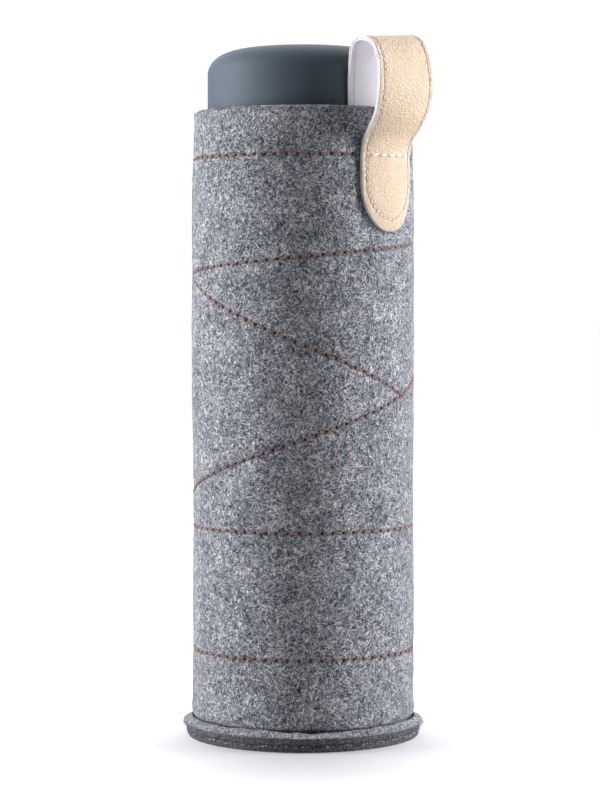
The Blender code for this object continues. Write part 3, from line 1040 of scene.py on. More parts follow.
@dataclass
class FeltSleeve:
    """The rolled felt wall on its two felt discs, with its topstitching and loose fibres."""

    stitching: Topstitching
    thickness: float = 2.75 * MM
    rim_round: float = 0.9 * MM
    rim_pull: float = 0.9 * MM
    press_depth: float = 0.45 * MM
    press_bearing: float = 19.0
    press_low: float = 184.0 * MM
    press_high: float = 217.0 * MM
    groove_depth: float = 0.42 * MM
    groove_width: float = 1.0 * MM
    seam_depth: float = 0.55 * MM
    seam_width: float = 0.8 * MM
    nap: float = 0.055 * MM
    ledge: float = 5.5 * MM
    wall_columns: int = 336
    wall_step: float = 0.95 * MM
    fuzz_count: int = 6500
    base_fuzz_count: int = 1500

    def __post_init__(self) -> None:
        """Reads the wall's and the discs' sizes from the frame."""
        low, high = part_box("felt_sleeve")
        self.radius = high.x
        self.foot, self.top = low.z, high.z
        self.flange_low, self.flange_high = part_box("base_flange")
        self.sole_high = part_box("base_sole")[1]
        self.slow = SmoothNoise(11, 7, 46 * MM)
        self.slower = SmoothNoise(12, 4, 90 * MM)
        self.lumps = SmoothNoise(13, 46, 5.5 * MM)
        self.grit = SmoothNoise(14, 168, 1.5 * MM)
        self.crease = SmoothNoise(15, 38, 10 * MM)
        self.flat_runs = [run for name in self.stitching.runs
                          for run in self.stitching.straight_runs(name, self.radius)]

    def stitch_groove(self, bearing: Array, height: Array) -> Array:
        """How deep the stitching pulls the felt in, in metres.

        Args:
            bearing: radians round the sleeve.
            height: metres above the base.

        Returns:
            Metres, positive inward.
        """
        arc_length, depth = bearing * self.radius, np.zeros_like(bearing)
        for run in self.flat_runs:
            (u, v), (du, dv) = run.start, run.direction
            along = (arc_length - u) * du + (height - v) * dv
            across = (height - v) * du - (arc_length - u) * dv
            beyond = np.maximum(0.0, np.abs(along - run.length / 2) - run.length / 2)
            far = np.hypot(across, beyond)
            pulse = 0.85 + 0.15 * np.cos(2 * math.pi * along / run.pitch)
            depth = np.maximum(depth, pulse * np.exp(-(far / self.groove_width) ** 2)
                               + 0.18 * np.exp(-(far / (3.4 * self.groove_width)) ** 2))
        return depth * self.groove_depth

    def relief(self, bearing: Array, height: Array) -> Array:
        """How far the wall stands off its plain cylinder.

        Args:
            bearing: radians round the sleeve.
            height: metres above the base.

        Returns:
            Metres, positive outward.
        """
        rise = (height - self.foot) / (self.top - self.foot)
        push = 0.28 * MM * self.slow.at(bearing, height) + 0.3 * MM * self.slower.at(bearing, height)
        push += 0.10 * MM * self.lumps.at(bearing, height) + self.nap * self.grit.at(bearing, height)
        push -= self.rim_pull * np.clip((rise - 0.84) / 0.16, 0.0, 1.0) ** 1.5
        above = height - self.foot + 0.55 * MM * self.crease.at(bearing, 0.0 * height)
        push += 0.32 * MM * np.exp(-((above - 5.2 * MM) / (2.0 * MM)) ** 2)
        push -= 1.5 * MM * np.clip(1.0 - above / (3.4 * MM), 0.0, 1.0) ** 1.4
        push -= self.stitch_groove(bearing, height)
        under = (np.clip((self.press_bearing - np.abs(np.degrees(bearing))) / 2.5, 0.0, 1.0)
                 * np.clip((height - self.press_low) / (3.0 * MM), 0.0, 1.0)
                 * np.clip((self.press_high - height) / (4.0 * MM), 0.0, 1.0))
        push -= self.press_depth * under
        off_seam = (math.pi - np.abs(bearing)) * self.radius
        push -= self.seam_depth * np.exp(-(off_seam / self.seam_width) ** 2)
        return push

    def wall_relief(self, bearing: Array, height: Array) -> Array:
        """The relief, which fades on the rows that face inward.

        Args:
            bearing: radians round the sleeve.
            height: metres above the base.

        Returns:
            Metres, positive outward.
        """
        rows = bearing.shape[0]
        inside = np.zeros((rows, 1))
        inside[self.inner_rows(rows):] = 1.0
        plain = 0.03 * MM * inside * self.grit.at(bearing, height)
        return self.relief(bearing, height) * (1.0 - inside) + plain

    def inner_rows(self, rows: int) -> int:
        """The first row of the wall's grid that faces inward."""
        return min(rows, self.outer_row_count)

    def wall_profile(self) -> list[Point2]:
        """The wall's outline, from the middle of its rim, down its outside and up its inside.

        Returns:
            Its (radius, height) points.
        """
        inner = self.radius - self.thickness
        r, top = self.rim_round, self.top
        outline = arc(self.radius - r, top - r, r, 90, 0, 4)
        outline += [(self.radius, self.foot)]
        self.outer_row_count = len(fine_profile(outline, self.wall_step, False))
        coarse = [self.foot + (top - r - self.foot) * i / 24 for i in range(25)]
        outline = [tuple(p) for p in fine_profile(outline, self.wall_step, False)]
        outline += [(inner, z) for z in coarse]
        outline += arc(inner + r, top - r, r, 180, 90, 4)[1:]
        return outline

    def surface(self, bearing: Array, height: Array) -> tuple[Array, Array]:
        """The wall's outer surface.

        Args:
            bearing: radians.
            height: metres.

        Returns:
            Its points and outward normals, one row each.
        """
        normal = np.stack([np.sin(bearing), -np.cos(bearing), np.zeros_like(bearing)], axis=-1)
        reach = self.radius + self.relief(bearing, height)
        points = normal * reach[:, None]
        points[:, 2] = height
        return points, normal

    def build_wall(self, felt: Material) -> Piece:
        """Makes the felt wall.

        Args:
            felt: its material.

        Returns:
            The new object.
        """
        wall = Turned("felt_wall", self.wall_profile(), felt, closed=True, columns=self.wall_columns,
                      step=40 * MM, relief=self.wall_relief).build()
        settle(wall, "sleeve", "felt_sleeve")
        return wall

    def disc_relief(self, seed: int, wave: float) -> Relief:
        """Uneven edges and nap for a felt disc.

        Args:
            seed: which unevenness it is.
            wave: how far the edge wanders, in metres.

        Returns:
            A function that gives the relief.
        """
        slow, lumps, grit = SmoothNoise(seed, 13, 30 * MM), SmoothNoise(seed + 1, 60, 4 * MM), self.grit

        def push(bearing: Array, height: Array) -> Array:
            """Metres that the disc's surface stands off its plain shape.

            Args:
                bearing: radians round the sleeve.
                height: metres above the base.

            Returns:
                Metres, positive outward.
            """
            crest = np.clip((height - self.ledge) / (1.4 * MM), 0.0, 1.0)
            return ((wave + 0.35 * MM * crest) * slow.at(bearing, height * 0.2)
                    + (0.12 * MM + 0.16 * MM * crest) * lumps.at(bearing, height)
                    + self.nap * grit.at(bearing, height * 3.0))

        return push

    def build_base(self, felt: Material) -> list[Piece]:
        """Makes the two felt discs of the base.

        Args:
            felt: their material.

        Returns:
            The upper disc and the lower.
        """
        lip, flange = self.radius - 0.1 * MM, self.flange_high.x
        crest, low = self.flange_high.z, self.flange_low.z
        outline = [(0.0, self.foot - 0.3 * MM), (lip, self.foot - 0.3 * MM)]
        outline += [(lip + 0.1 * MM, crest - 0.7 * MM), (lip + 0.55 * MM, crest - 0.15 * MM)]
        outline += arc(flange - 0.28 * MM, self.ledge - 0.3 * MM, 0.3 * MM, 62, -22, 3)
        outline += [(flange - 1.0 * MM, low + 0.12 * MM), (flange - 1.15 * MM, low), (0.0, low)]
        upper = Turned("felt_flange", outline, felt, columns=288, step=0.9 * MM, unroll=Unroll.DISC,
                       relief=self.disc_relief(21, 0.12 * MM)).build()
        sole, top = self.sole_high.x, self.sole_high.z
        outline = [(0.0, top + 0.22 * MM), (sole - 0.3 * MM, top + 0.22 * MM)]
        outline += arc(sole + 0.42 * MM, top - 0.12 * MM, 0.18 * MM, 70, -18, 2)
        outline += arc(sole - 0.4 * MM, 0.5 * MM, 0.5 * MM, -18, -90, 4) + [(0.0, 0.0)]
        lower = Turned("felt_sole", outline, felt, columns=288, step=0.9 * MM, unroll=Unroll.DISC,
                       relief=self.sole_relief).build()
        for disc, node, reach in ((upper, "base_flange", flange), (lower, "base_sole", sole)):
            settle(disc, "sleeve", node)
        return [upper, lower]

    def sole_relief(self, bearing: Array, height: Array) -> Array:
        """Nap on the lower disc's side, and none underneath, where it stands.

        Args:
            bearing: radians round the sleeve.
            height: metres above the base.

        Returns:
            Metres, positive outward.
        """
        rim = (np.clip(height / (0.8 * MM), 0.0, 1.0)
               * np.clip((self.sole_high.z - height) / (0.4 * MM), 0.0, 1.0))
        return self.disc_relief(31, 0.12 * MM)(bearing, height) * rim

    def build_threads(self, orange: Material) -> list[Piece]:
        """Makes the rust-orange topstitching, one piece for each thread.

        Args:
            orange: their material.

        Returns:
            The new objects.
        """
        made = []
        for seed, name in enumerate(self.stitching.runs):
            runs = self.stitching.straight_runs(name, self.radius)
            spans, offset = [], 0.0
            for run in runs:
                spans += [(offset + a, offset + b)
                          for a, b in even_spans(run.length, run.count, self.stitching.hole)]
                offset += run.length

            def place(along: Array, runs: list[StitchRun] = runs) -> tuple[Array, Array]:
                """The felt's surface and normal at distances along the thread.

                Args:
                    along: the distances.
                    runs: the thread's straight runs.

                Returns:
                    The points and the normals, one row each.
                """
                marks = np.concatenate([[0.0], np.cumsum([run.length for run in runs])])
                corners = [runs[0].start] + [run.end for run in runs]
                u = np.interp(along, marks, [corner[0] for corner in corners])
                v = np.interp(along, marks, [corner[1] for corner in corners])
                return self.surface(u / self.radius, v)

            row = Stitches(f"{name}_stitches", orange, radius=0.27 * MM, rise=0.20 * MM, sink=0.5 * MM)
            made.append(settle(row.build(place, spans, 100 + seed), "sleeve", name))
        return made

    def build_seams(self, grey: Material) -> list[Piece]:
        """Makes the cross stitches over the back seam and the hidden seam at the base.

        Args:
            grey: their material.

        Returns:
            The back seam's stitches and the base's.
        """
        low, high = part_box("back_seam_thread")
        height, gap, reach = high.z - low.z, 4.0 * MM, 2.1 * MM
        count = int(height / gap)
        corners = [(reach if i % 2 else -reach, low.z + 2 * MM + (height - 4 * MM) * i / count)
                   for i in range(count + 1)]
        lengths = [math.dist(a, b) for a, b in zip(corners, corners[1:])]
        marks = np.concatenate([[0.0], np.cumsum(lengths)])

        def over_seam(along: Array) -> tuple[Array, Array]:
            """The felt's surface along the thread that zigzags over the back seam.

            Args:
                along: distances on the thread.

            Returns:
                The points and the normals, one row each.
            """
            u = np.interp(along, marks, [corner[0] for corner in corners])
            v = np.interp(along, marks, [corner[1] for corner in corners])
            bearing = math.pi - u / self.radius
            return self.surface(np.where(bearing > math.pi, bearing - 2 * math.pi, bearing), v)

        spans = [(a + 0.2 * MM, b - 0.2 * MM) for a, b in zip(marks, marks[1:])]
        row = Stitches("back_seam_stitches", grey, radius=0.36 * MM, rise=0.42 * MM, sink=0.4 * MM, lean=0.0)
        back = row.build(over_seam, spans, 201)
        low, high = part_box("base_seam_thread")
        radius, level = high.x, (low.z + high.z) / 2

        def inside(along: Array) -> tuple[Array, Array]:
            """The corner between the wall's inside and the base.

            Args:
                along: distances round the corner.

            Returns:
                The points and the normals, one row each.
            """
            bearing = -along / radius
            inward = np.stack([-np.sin(bearing), np.cos(bearing), np.zeros_like(bearing)], axis=-1)
            points = -inward * radius
            points[:, 2] = level
            return points, inward

        around = 2 * math.pi * radius
        row = Stitches("base_seam_stitches", grey, radius=0.33 * MM, rise=0.12 * MM, sink=0.25 * MM,
                       sections=9)
        base = row.build(inside, even_spans(around, round(around / (5 * MM)), 0.6 * MM), 202)
        for piece, node in ((back, "back_seam_thread"), (base, "base_seam_thread")):
            settle(piece, "sleeve", node)
        return [back, base]

    def fibre_mesh(self, name: str, roots: Array, normals: Array, sides: Array, seed: int,
                   material: Material) -> Piece:
        """Makes loose fibres as fine closed tubes with pointed ends.

        Args:
            name: the piece's name.
            roots: where each fibre starts.
            normals: the felt's outward direction there.
            sides: a direction along the felt there.
            seed: which tangle it is.
            material: the fibres' material.

        Returns:
            The new object.
        """
        chance = np.random.default_rng(seed)
        count, stations = len(roots), 5
        length = chance.gamma(4.0, 0.36 * MM, count)[:, None]
        turn = chance.uniform(0.0, 2 * math.pi, count)[:, None]
        curl = chance.normal(0.0, 1.1, count)[:, None]
        lift = np.abs(chance.normal(0.0, 0.13 * MM, count))[:, None] + 0.04 * MM
        other = np.cross(normals, sides)
        t = np.linspace(0.0, 1.0, stations)[None, :]
        heading = turn + curl * t
        step = length / (stations - 1)
        x = np.cumsum(np.cos(heading) * step, axis=1) - np.cos(heading[:, :1]) * step
        y = np.cumsum(np.sin(heading) * step, axis=1) - np.sin(heading[:, :1]) * step
        ends = chance.uniform(0.0, 1.0, count)[:, None]
        z = lift * (np.sin(math.pi * t) + ends * t) - 0.03 * MM
        line = (roots[:, None, :] + x[..., None] * sides[:, None, :] + y[..., None] * other[:, None, :]
                + z[..., None] * normals[:, None, :])
        along = np.gradient(line, axis=1)
        along /= np.linalg.norm(along, axis=2, keepdims=True)
        up = normals[:, None, :] - along * np.sum(along * normals[:, None, :], axis=2, keepdims=True)
        up /= np.linalg.norm(up, axis=2, keepdims=True)
        across = np.cross(along, up)
        thick = chance.uniform(0.022, 0.042, count)[:, None, None] * MM
        rings = []
        for k in range(3):
            angle = 2 * math.pi * k / 3
            spoke = math.cos(angle) * up[:, 1:-1] + math.sin(angle) * across[:, 1:-1]
            rings.append(line[:, 1:-1] + thick * spoke)
        body = np.stack(rings, axis=2).reshape(count, -1, 3)
        points = np.concatenate([line[:, :1], body, line[:, -1:]], axis=1)
        inner = stations - 2
        pattern = [(0, 1 + (k + 1) % 3, 1 + k) for k in range(3)]
        for row in range(inner - 1):
            a = 1 + 3 * row
            pattern += [(a + k, a + (k + 1) % 3, a + 3 + (k + 1) % 3, a + 3 + k) for k in range(3)]
        a = 1 + 3 * (inner - 1)
        pattern += [(a + k, a + (k + 1) % 3, a + 3) for k in range(3)]
        points[..., 2] = np.maximum(points[..., 2], 0.02 * MM)
        size = points.shape[1]
        faces = [tuple(v + size * i for v in face) for i in range(count) for face in pattern]
        return make_piece(name, points.reshape(-1, 3), faces, material)

    def build_fuzz(self, fuzz: Material) -> list[Piece]:
        """Makes the loose fibres on the wall, the rim and the base's edge.

        Args:
            fuzz: their material.

        Returns:
            The wall's fibres and the base's.
        """
        chance = np.random.default_rng(41)
        bearing = chance.uniform(-math.pi, math.pi, self.fuzz_count)
        height = chance.uniform(self.foot + 3 * MM, self.top - 0.3 * MM, self.fuzz_count)
        height = np.where(chance.random(self.fuzz_count) < 0.1,
                          chance.uniform(self.top - 2.0 * MM, self.top - 0.4 * MM, self.fuzz_count), height)
        points, normals = self.surface(bearing, height)
        sides = np.stack([np.cos(bearing), np.sin(bearing), np.zeros_like(bearing)], axis=-1)
        wall = self.fibre_mesh("wall_fuzz", points, normals, sides, 42, fuzz)
        bearing = chance.uniform(-math.pi, math.pi, self.base_fuzz_count)
        tilt = chance.uniform(-0.5, 1.3, self.base_fuzz_count)
        radial = np.stack([np.sin(bearing), -np.cos(bearing), np.zeros_like(bearing)], axis=-1)
        up = np.array([0.0, 0.0, 1.0])
        normals = radial * np.cos(tilt)[:, None] + up * np.sin(tilt)[:, None]
        points = radial * (self.flange_high.x - 0.9 * MM) + up * (4.2 * MM) + normals * 0.9 * MM
        low = chance.random(self.base_fuzz_count) < 0.4
        points[low] = radial[low] * (self.sole_high.x - 0.1 * MM) + up * chance.uniform(
            0.8 * MM, 2.2 * MM, self.base_fuzz_count)[low][:, None]
        normals[low] = radial[low]
        sides = np.stack([np.cos(bearing), np.sin(bearing), np.zeros_like(bearing)], axis=-1)
        base = self.fibre_mesh("base_fuzz", points, normals, sides, 43, fuzz)
        for piece in (wall, base):
            settle(piece, "sleeve")
        return [wall, base]


# ---------------------------------------------------------------- pull loop


@dataclass
class PullLoop:
    """The bent strap: leather outside, lining inside, sewn together round the edge and to the wall."""

    half_width: float = 13.3 * MM
    neck_half_width: float = 12.3 * MM
    neck_height: float = 224.0 * MM
    neck_reach: float = 9.0 * MM
    end_reach: float = 18.5 * MM
    tip_height: float = 185.0 * MM
    leather: float = 1.0 * MM
    lining: float = 0.55 * MM
    split: float = 0.15 * MM
    back_radius: float = 36.8 * MM
    front_radius: float = 41.4 * MM
    wrap_end_back: float = 231.0 * MM
    wrap_end_front: float = 213.0 * MM
    loop_top: float = 252.0 * MM
    stitch_inset: float = 2.0 * MM
    tip_inset: float = 4.4 * MM
    stitch_pitch: float = 2.2 * MM
    path_step: float = 0.2 * MM
    anchor_height: float = 212.3 * MM
    skew: float = 1.2 * MM
    tilt: float = 0.08
    rows: int = 230

    def __post_init__(self) -> None:
        """Lays out the side profile as a fine smooth line of radius and height."""
        self.line = self.smooth_route(self.route(), 24)
        steps = np.linalg.norm(np.diff(self.line, axis=0), axis=1)
        self.marks = np.concatenate([[0.0], np.cumsum(steps)])
        self.length = float(self.marks[-1])
        run = np.gradient(self.line, axis=0)
        run /= np.linalg.norm(run, axis=1)[:, None]
        self.normals = np.stack([-run[:, 1], run[:, 0]], axis=-1)

    def route(self) -> list[Point2]:
        """The strap's side profile as (radius, height), from its hidden end over to its tip.

        Returns:
            The points in order.
        """
        back, front = self.back_radius, self.front_radius
        return [
            (back, 203.0 * MM), (back, 212.0 * MM), (back, 222.0 * MM), (back, 232.0 * MM),
            (back - 0.2 * MM, 241.0 * MM), (back - 0.3 * MM, 248.6 * MM), (back + 0.5 * MM, 252.2 * MM),
            (39.4 * MM, 253.8 * MM), (42.9 * MM, 253.7 * MM), (46.2 * MM, 252.1 * MM),
            (48.8 * MM, 247.8 * MM), (50.2 * MM, 241.6 * MM), (50.7 * MM, 234.6 * MM),
            (49.3 * MM, 228.0 * MM),
            (46.2 * MM, 222.8 * MM), (43.1 * MM, 218.6 * MM), (front, 213.4 * MM),
            (front, 206.0 * MM), (front, 195.5 * MM), (front, self.tip_height),
        ]

    @staticmethod
    def smooth_route(knots: Sequence[Point2], steps: int) -> Array:
        """A Catmull-Rom curve through the knots.

        Args:
            knots: points it passes through.
            steps: how many points each stretch gets.

        Returns:
            The points, one row each.
        """
        padded = np.array([knots[0], *knots, knots[-1]])
        t = np.arange(steps)[:, None] / steps
        pieces = []
        for a, b, c, d in zip(padded, padded[1:], padded[2:], padded[3:]):
            pieces.append(a * (-0.5 * t + t ** 2 - 0.5 * t ** 3) + b * (1.0 - 2.5 * t ** 2 + 1.5 * t ** 3)
                          + c * (0.5 * t + 2.0 * t ** 2 - 1.5 * t ** 3) + d * (-0.5 * t ** 2 + 0.5 * t ** 3))
        return np.concatenate([*pieces, padded[-1:]])

    def side(self, along: Array) -> tuple[Array, Array, Array, Array]:
        """The radius, the height and the two parts of the normal, at distances along the strap."""
        columns = (self.line[:, 0], self.line[:, 1], self.normals[:, 0], self.normals[:, 1])
        return tuple(np.interp(along, self.marks, column) for column in columns)

    def width(self, along: Array) -> Array:
        """Half the strap's width along it: full, a little necked over the rim, and a rounded tip.

        Args:
            along: distances along the strap.

        Returns:
            Metres, one for each distance.
        """
        height = self.side(along)[1]
        dip = np.exp(-((height - self.neck_height) / self.neck_reach) ** 2) * (along > self.length / 2)
        width = self.half_width - (self.half_width - self.neck_half_width) * dip
        left = np.clip((self.length - along) / self.end_reach, 0.0, 1.0)
        return width * np.sqrt(np.clip(1.0 - (1.0 - left) ** 2, 0.0, 1.0))

    def place(self, along: Array, across: Array, off: Array) -> Array:
        """Points of the strap.

        Args:
            along: distances along it.
            across: distances off its middle line.
            off: distances off the seam between leather and lining, positive outside the loop.

        Returns:
            The points, one row each.
        """
        radius, height, out_radius, out_height = self.side(along)
        radius, height = radius + off * out_radius, height + off * out_height
        start = np.where(along < self.length / 2, self.wrap_end_back, self.wrap_end_front)
        t = np.clip((height - start) / (self.loop_top - start), 0.0, 1.0)
        wrap = 1.0 - t * t * (3.0 - 2.0 * t)
        swing = np.clip((along / self.length - 0.45) / 0.4, 0.0, 1.0)
        behind = np.clip((0.42 - along / self.length) / 0.17, 0.0, 1.0)
        shift = swing * swing * (3.0 - 2.0 * swing) - behind * behind * (3.0 - 2.0 * behind)
        across = across + self.skew * shift
        height = height + self.tilt * across * t * t * (3.0 - 2.0 * t)
        bearing = across / self.front_radius
        x = across + (radius * np.sin(bearing) - across) * wrap
        y = -radius + (radius - radius * np.cos(bearing)) * wrap
        return np.stack([x, y, height], axis=-1)

    def stitch_path(self) -> tuple[Array, Array]:
        """The edge stitching's path, up one side from the hidden end, round the tip and back.

        Returns:
            Distances along the strap and across it, at points evenly spaced on the path.
        """
        turn = self.length - self.end_reach
        reach = self.end_reach - self.tip_inset
        straight = np.linspace(2.0 * MM, turn, 240)
        angle = np.linspace(0.0, math.pi, 121)[1:-1]
        inset = self.half_width - self.stitch_inset
        along = np.concatenate([straight, turn + reach * np.sin(angle), straight[::-1]])
        side = self.width(straight) - self.stitch_inset
        across = np.concatenate([-side, -inset * np.cos(angle), side[::-1]])
        run = np.concatenate([[0.0], np.cumsum(np.hypot(np.diff(along), np.diff(across)))])
        even = np.arange(0.0, run[-1], self.path_step)
        return np.interp(even, run, along), np.interp(even, run, across)

    def section(self, low: float, high: float, edge: float) -> tuple[Array, Array, Array]:
        """One layer's cross-section as a ring of points.

        Args:
            low: the face nearer the other layer, or the loop's inside.
            high: the face nearer the loop's outside.
            edge: how much the edges are rounded.

        Returns:
            For each point, its share of the flat width, what the rounded edge adds, and its height off.
        """
        fine = np.array([0, 0.25, 0.5, 0.75, 1.0, 1.25, 1.5, 1.7, 1.9, 2.1, 2.4, 2.8, 3.4, 4.2, 5.2, 6.3, 7.5,
                         8.7, 9.9, 11.1, 12.3, 13.3]) / 13.3
        half = 1.0 - fine
        top = np.concatenate([-half, half[::-1][1:]])
        corner = np.radians([72, 45, 18])
        shares = [top, np.ones(3), np.ones(3), top[::-1], -np.ones(3), -np.ones(3)]
        extra = [top * 0, edge * np.cos(corner), edge * np.cos(corner[::-1]), top * 0,
                 -edge * np.cos(corner), -edge * np.cos(corner[::-1])]
        offs = [top * 0 + high, high - edge + edge * np.sin(corner), low + edge - edge * np.sin(corner[::-1]),
                top * 0 + low, low + edge - edge * np.sin(corner), high - edge + edge * np.sin(corner[::-1])]
        return tuple(np.concatenate(parts) for parts in (shares, extra, offs))

    def build_layer(self, name: str, low: float, high: float, edge: float, inset: float, groove: float,
                    material: Material) -> Piece:
        """Makes one layer of the strap as a closed piece.

        Args:
            name: the piece's name.
            low: its inner face, measured off the seam between the layers.
            high: its outer face.
            edge: how much its edges are rounded.
            inset: how far its edge is set back.
            groove: how deep the stitching presses its open face, positive for the outer one.
            material: its material.

        Returns:
            The new object, with UV maps named cloth and stitch.
        """
        share, extra, off = self.section(low, high, edge)
        ease = np.linspace(0.0, 1.0, self.rows)
        along = (0.35 * np.sin(ease * math.pi / 2) + 0.65 * ease) * (self.length - 0.12 * MM - inset)
        width = np.maximum(self.width(along + inset) - inset - edge, 0.05 * MM)
        across = width[:, None] * share[None, :] + extra[None, :]
        run = np.repeat(along[:, None], len(share), axis=1)
        path_along, path_across = self.stitch_path()
        seam_arc, seam_off = self.nearest(run, across, path_along, path_across)
        press = np.exp(-(seam_off / (0.55 * MM)) ** 2) * groove
        face = off >= high - 1e-6 if groove > 0 else off <= low + 1e-6
        wear = 0.05 * MM * np.sin(run / (3.1 * MM)) * np.cos(across / (5.2 * MM))
        lift = np.where(face[None, :], -press + wear, wear) + off[None, :]
        points = self.place(run.ravel(), across.ravel(), lift.ravel())
        quads = grid_faces(self.rows, len(share), False, True)
        columns = len(share)
        j = quads % columns
        around = np.hypot(np.diff(width.max() * share + extra), np.diff(off))
        spread = np.concatenate([[0.0], np.cumsum(around)])
        wrapped = (j.max(axis=1, keepdims=True) == columns - 1) & (j == 0)
        u = np.where(wrapped, spread[-1] + edge, spread[j])
        cloth = np.stack([u, run.ravel()[quads]], axis=-1)
        stitch = np.stack([seam_arc.ravel()[quads], seam_off.ravel()[quads]], axis=-1)
        first = list(range(columns))
        last = [(self.rows - 1) * columns + k for k in range(columns)]
        faces = quads.tolist() + [first, last[::-1]]
        ends = [np.stack([spread, spread * 0], axis=-1),
                np.stack([spread, spread * 0 + self.length], axis=-1)[::-1]]
        far = np.full((columns, 2), 1.0)
        maps = {"cloth": np.concatenate([cloth.reshape(-1, 2), *ends]),
                "stitch": np.concatenate([stitch.reshape(-1, 2), far, far])}
        return make_piece(name, points, faces, material, maps)

    def nearest(self, along: Array, across: Array, path_along: Array,
                path_across: Array) -> tuple[Array, Array]:
        """Each point's place on the stitching path, and its distance from the path.

        Args:
            along, across: the points, in rows.
            path_along, path_across: the path.

        Returns:
            The places and the distances, shaped like the points.
        """
        arcs, offs = np.empty_like(along), np.empty_like(along)
        for row in range(len(along)):
            far = np.hypot(along[row][:, None] - path_along[None, :],
                           across[row][:, None] - path_across[None, :])
            pick = far.argmin(axis=1)
            arcs[row], offs[row] = pick * self.path_step, far[np.arange(len(pick)), pick]
        return arcs, offs

    def build(self, leather: Material, lining: Material, cream: Material) -> list[Piece]:
        """Makes the leather, the lining and both rows of stitches.

        Args:
            leather, lining, cream: the materials, cream being the thread's.

        Returns:
            The new objects.
        """
        half = self.split / 2
        top = half + self.leather
        outer = self.build_layer("loop_leather", 0.01 * MM, top, 0.55 * MM, 0.0, 0.22 * MM, leather)
        inner = self.build_layer("loop_lining", -half - self.lining, -0.01 * MM, 0.2 * MM, 0.12 * MM,
                                 -0.12 * MM, lining)
        for layer, node, name in ((outer, "strap_leather", "leather"), (inner, "strap_lining", "lining")):
            settle(layer, "sleeve", node)
        edge = self.build_edge_stitches("edge_stitches", top, 1.0, cream)
        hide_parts("strap_edge_thread")
        under = self.build_edge_stitches("lining_stitches", -half - self.lining, -1.0, cream)
        return [outer, inner, edge, under, self.build_anchor(top, cream)]

    def seam_surface(self, along: Array, across: Array, off: float) -> tuple[Array, Array]:
        """Points on the strap's face and the face's normals.

        Args:
            along: distances along the strap.
            across: distances off its middle line.
            off: how far the face is off the seam between the layers.

        Returns:
            The points and the normals, one row each.
        """
        points = self.place(along, across, np.full_like(along, off))
        above = self.place(along, across, np.full_like(along, off + 1.0 * MM))
        normal = above - points
        return points, normal / np.linalg.norm(normal, axis=1)[:, None]

    def build_edge_stitches(self, name: str, face: float, side: float, cream: Material) -> Piece:
        """Makes the fine stitches that run round the strap's edge, on one face.

        Args:
            name: the piece's name.
            face: where the face is, measured off the seam between the layers.
            side: 1 for the outer face and -1 for the inner.
            cream: the thread's material.

        Returns:
            The new object.
        """
        path_along, path_across = self.stitch_path()
        marks = np.arange(len(path_along)) * self.path_step

        def place(where: Array) -> tuple[Array, Array]:
            """The leather's face at distances along the edge stitching.

            Args:
                where: the distances.

            Returns:
                The points and the normals, one row each.
            """
            along = np.interp(where, marks, path_along)
            across = np.interp(where, marks, path_across)
            points, normal = self.seam_surface(along, across, face - side * 0.20 * MM)
            return points, normal * side

        count = int(marks[-1] / self.stitch_pitch)
        spans = even_spans(count * self.stitch_pitch, count, 0.5 * MM)
        row = Stitches(name, cream, radius=0.20 * MM, rise=0.16 * MM, sink=0.2 * MM, lean=0.05 * MM,
                       sections=11, sides=8)
        return settle(row.build(place, spans, 301), "sleeve")

    def build_anchor(self, top: float, cream: Material) -> Piece:
        """Makes the row that sews the strap to the sleeve.

        Args:
            top: where the leather's face is.
            cream: the thread's material.

        Returns:
            The new object.
        """
        low = self.length - (self.anchor_height - self.tip_height)
        half = self.half_width - 3.2 * MM

        def place(where: Array) -> tuple[Array, Array]:
            """The leather's face at distances along the anchoring row."""
            return self.seam_surface(np.full_like(where, low), where - half, top - 0.04 * MM)

        row = Stitches("anchor_stitches", cream, radius=0.40 * MM, rise=0.40 * MM, sink=0.35 * MM)
        piece = row.build(place, even_spans(2 * half, 5, 0.9 * MM), 302)
        return settle(piece, "sleeve", "strap_anchor_thread")


# ---------------------------------------------------------------- flask


def cup_profile(outer: Sequence[Point2], wall: float) -> list[Point2]:
    """A cup's whole profile from its outer side, axis to lip, with an inner side set in by its wall.

    Args:
        outer: its outer side, from the axis to the lip.
        wall: its thickness.

    Returns:
        The profile, inner side first.
    """
    run = np.array(outer)
    steps = np.diff(run, axis=0)
    steps /= np.linalg.norm(steps, axis=1)[:, None]
    before, after = np.vstack([steps[:1], steps]), np.vstack([steps, steps[-1:]])
    middle = before + after
    middle /= np.linalg.norm(middle, axis=1)[:, None]
    spread = np.maximum(0.3, np.sum(middle * before, axis=1))[:, None]
    inner = run + np.stack([-middle[:, 1], middle[:, 0]], axis=-1) * wall / spread
    inner[0, 0] = 0.0
    return [tuple(p) for p in inner] + [tuple(p) for p in run[::-1]]


@dataclass
class RoundPiece:
    """One of the flask's turned pieces: which node it stands for, its body and its finish."""

    name: str
    node: str
    body: str
    finish: str
    profile: list[Point2]
    closed: bool = False

    def build(self, material: Material) -> Piece:
        """Makes the piece and puts it on its body.

        Args:
            material: its material.

        Returns:
            The new object.
        """
        piece = Turned(self.name, self.profile, material, closed=self.closed).build()
        return settle(piece, self.body, self.node)


def band(node: str, ease: float) -> list[Point2]:
    """A ring's closed profile with rounded edges, from its node's box and inner radius.

    Args:
        node: the CAD node, a plain ring.
        ease: how much its four edges are rounded.

    Returns:
        The profile.
    """
    low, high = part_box(node)
    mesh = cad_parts[node].data
    inner = min(math.hypot(v.co.x, v.co.y) for v in mesh.vertices)
    outer = high.x
    return (arc(outer - ease, high.z - ease, ease, 90, 0, 3)
            + arc(outer - ease, low.z + ease, ease, 0, -90, 3)
            + arc(inner + ease, low.z + ease, ease, -90, -180, 3)
            + arc(inner + ease, high.z - ease, ease, 180, 90, 3))


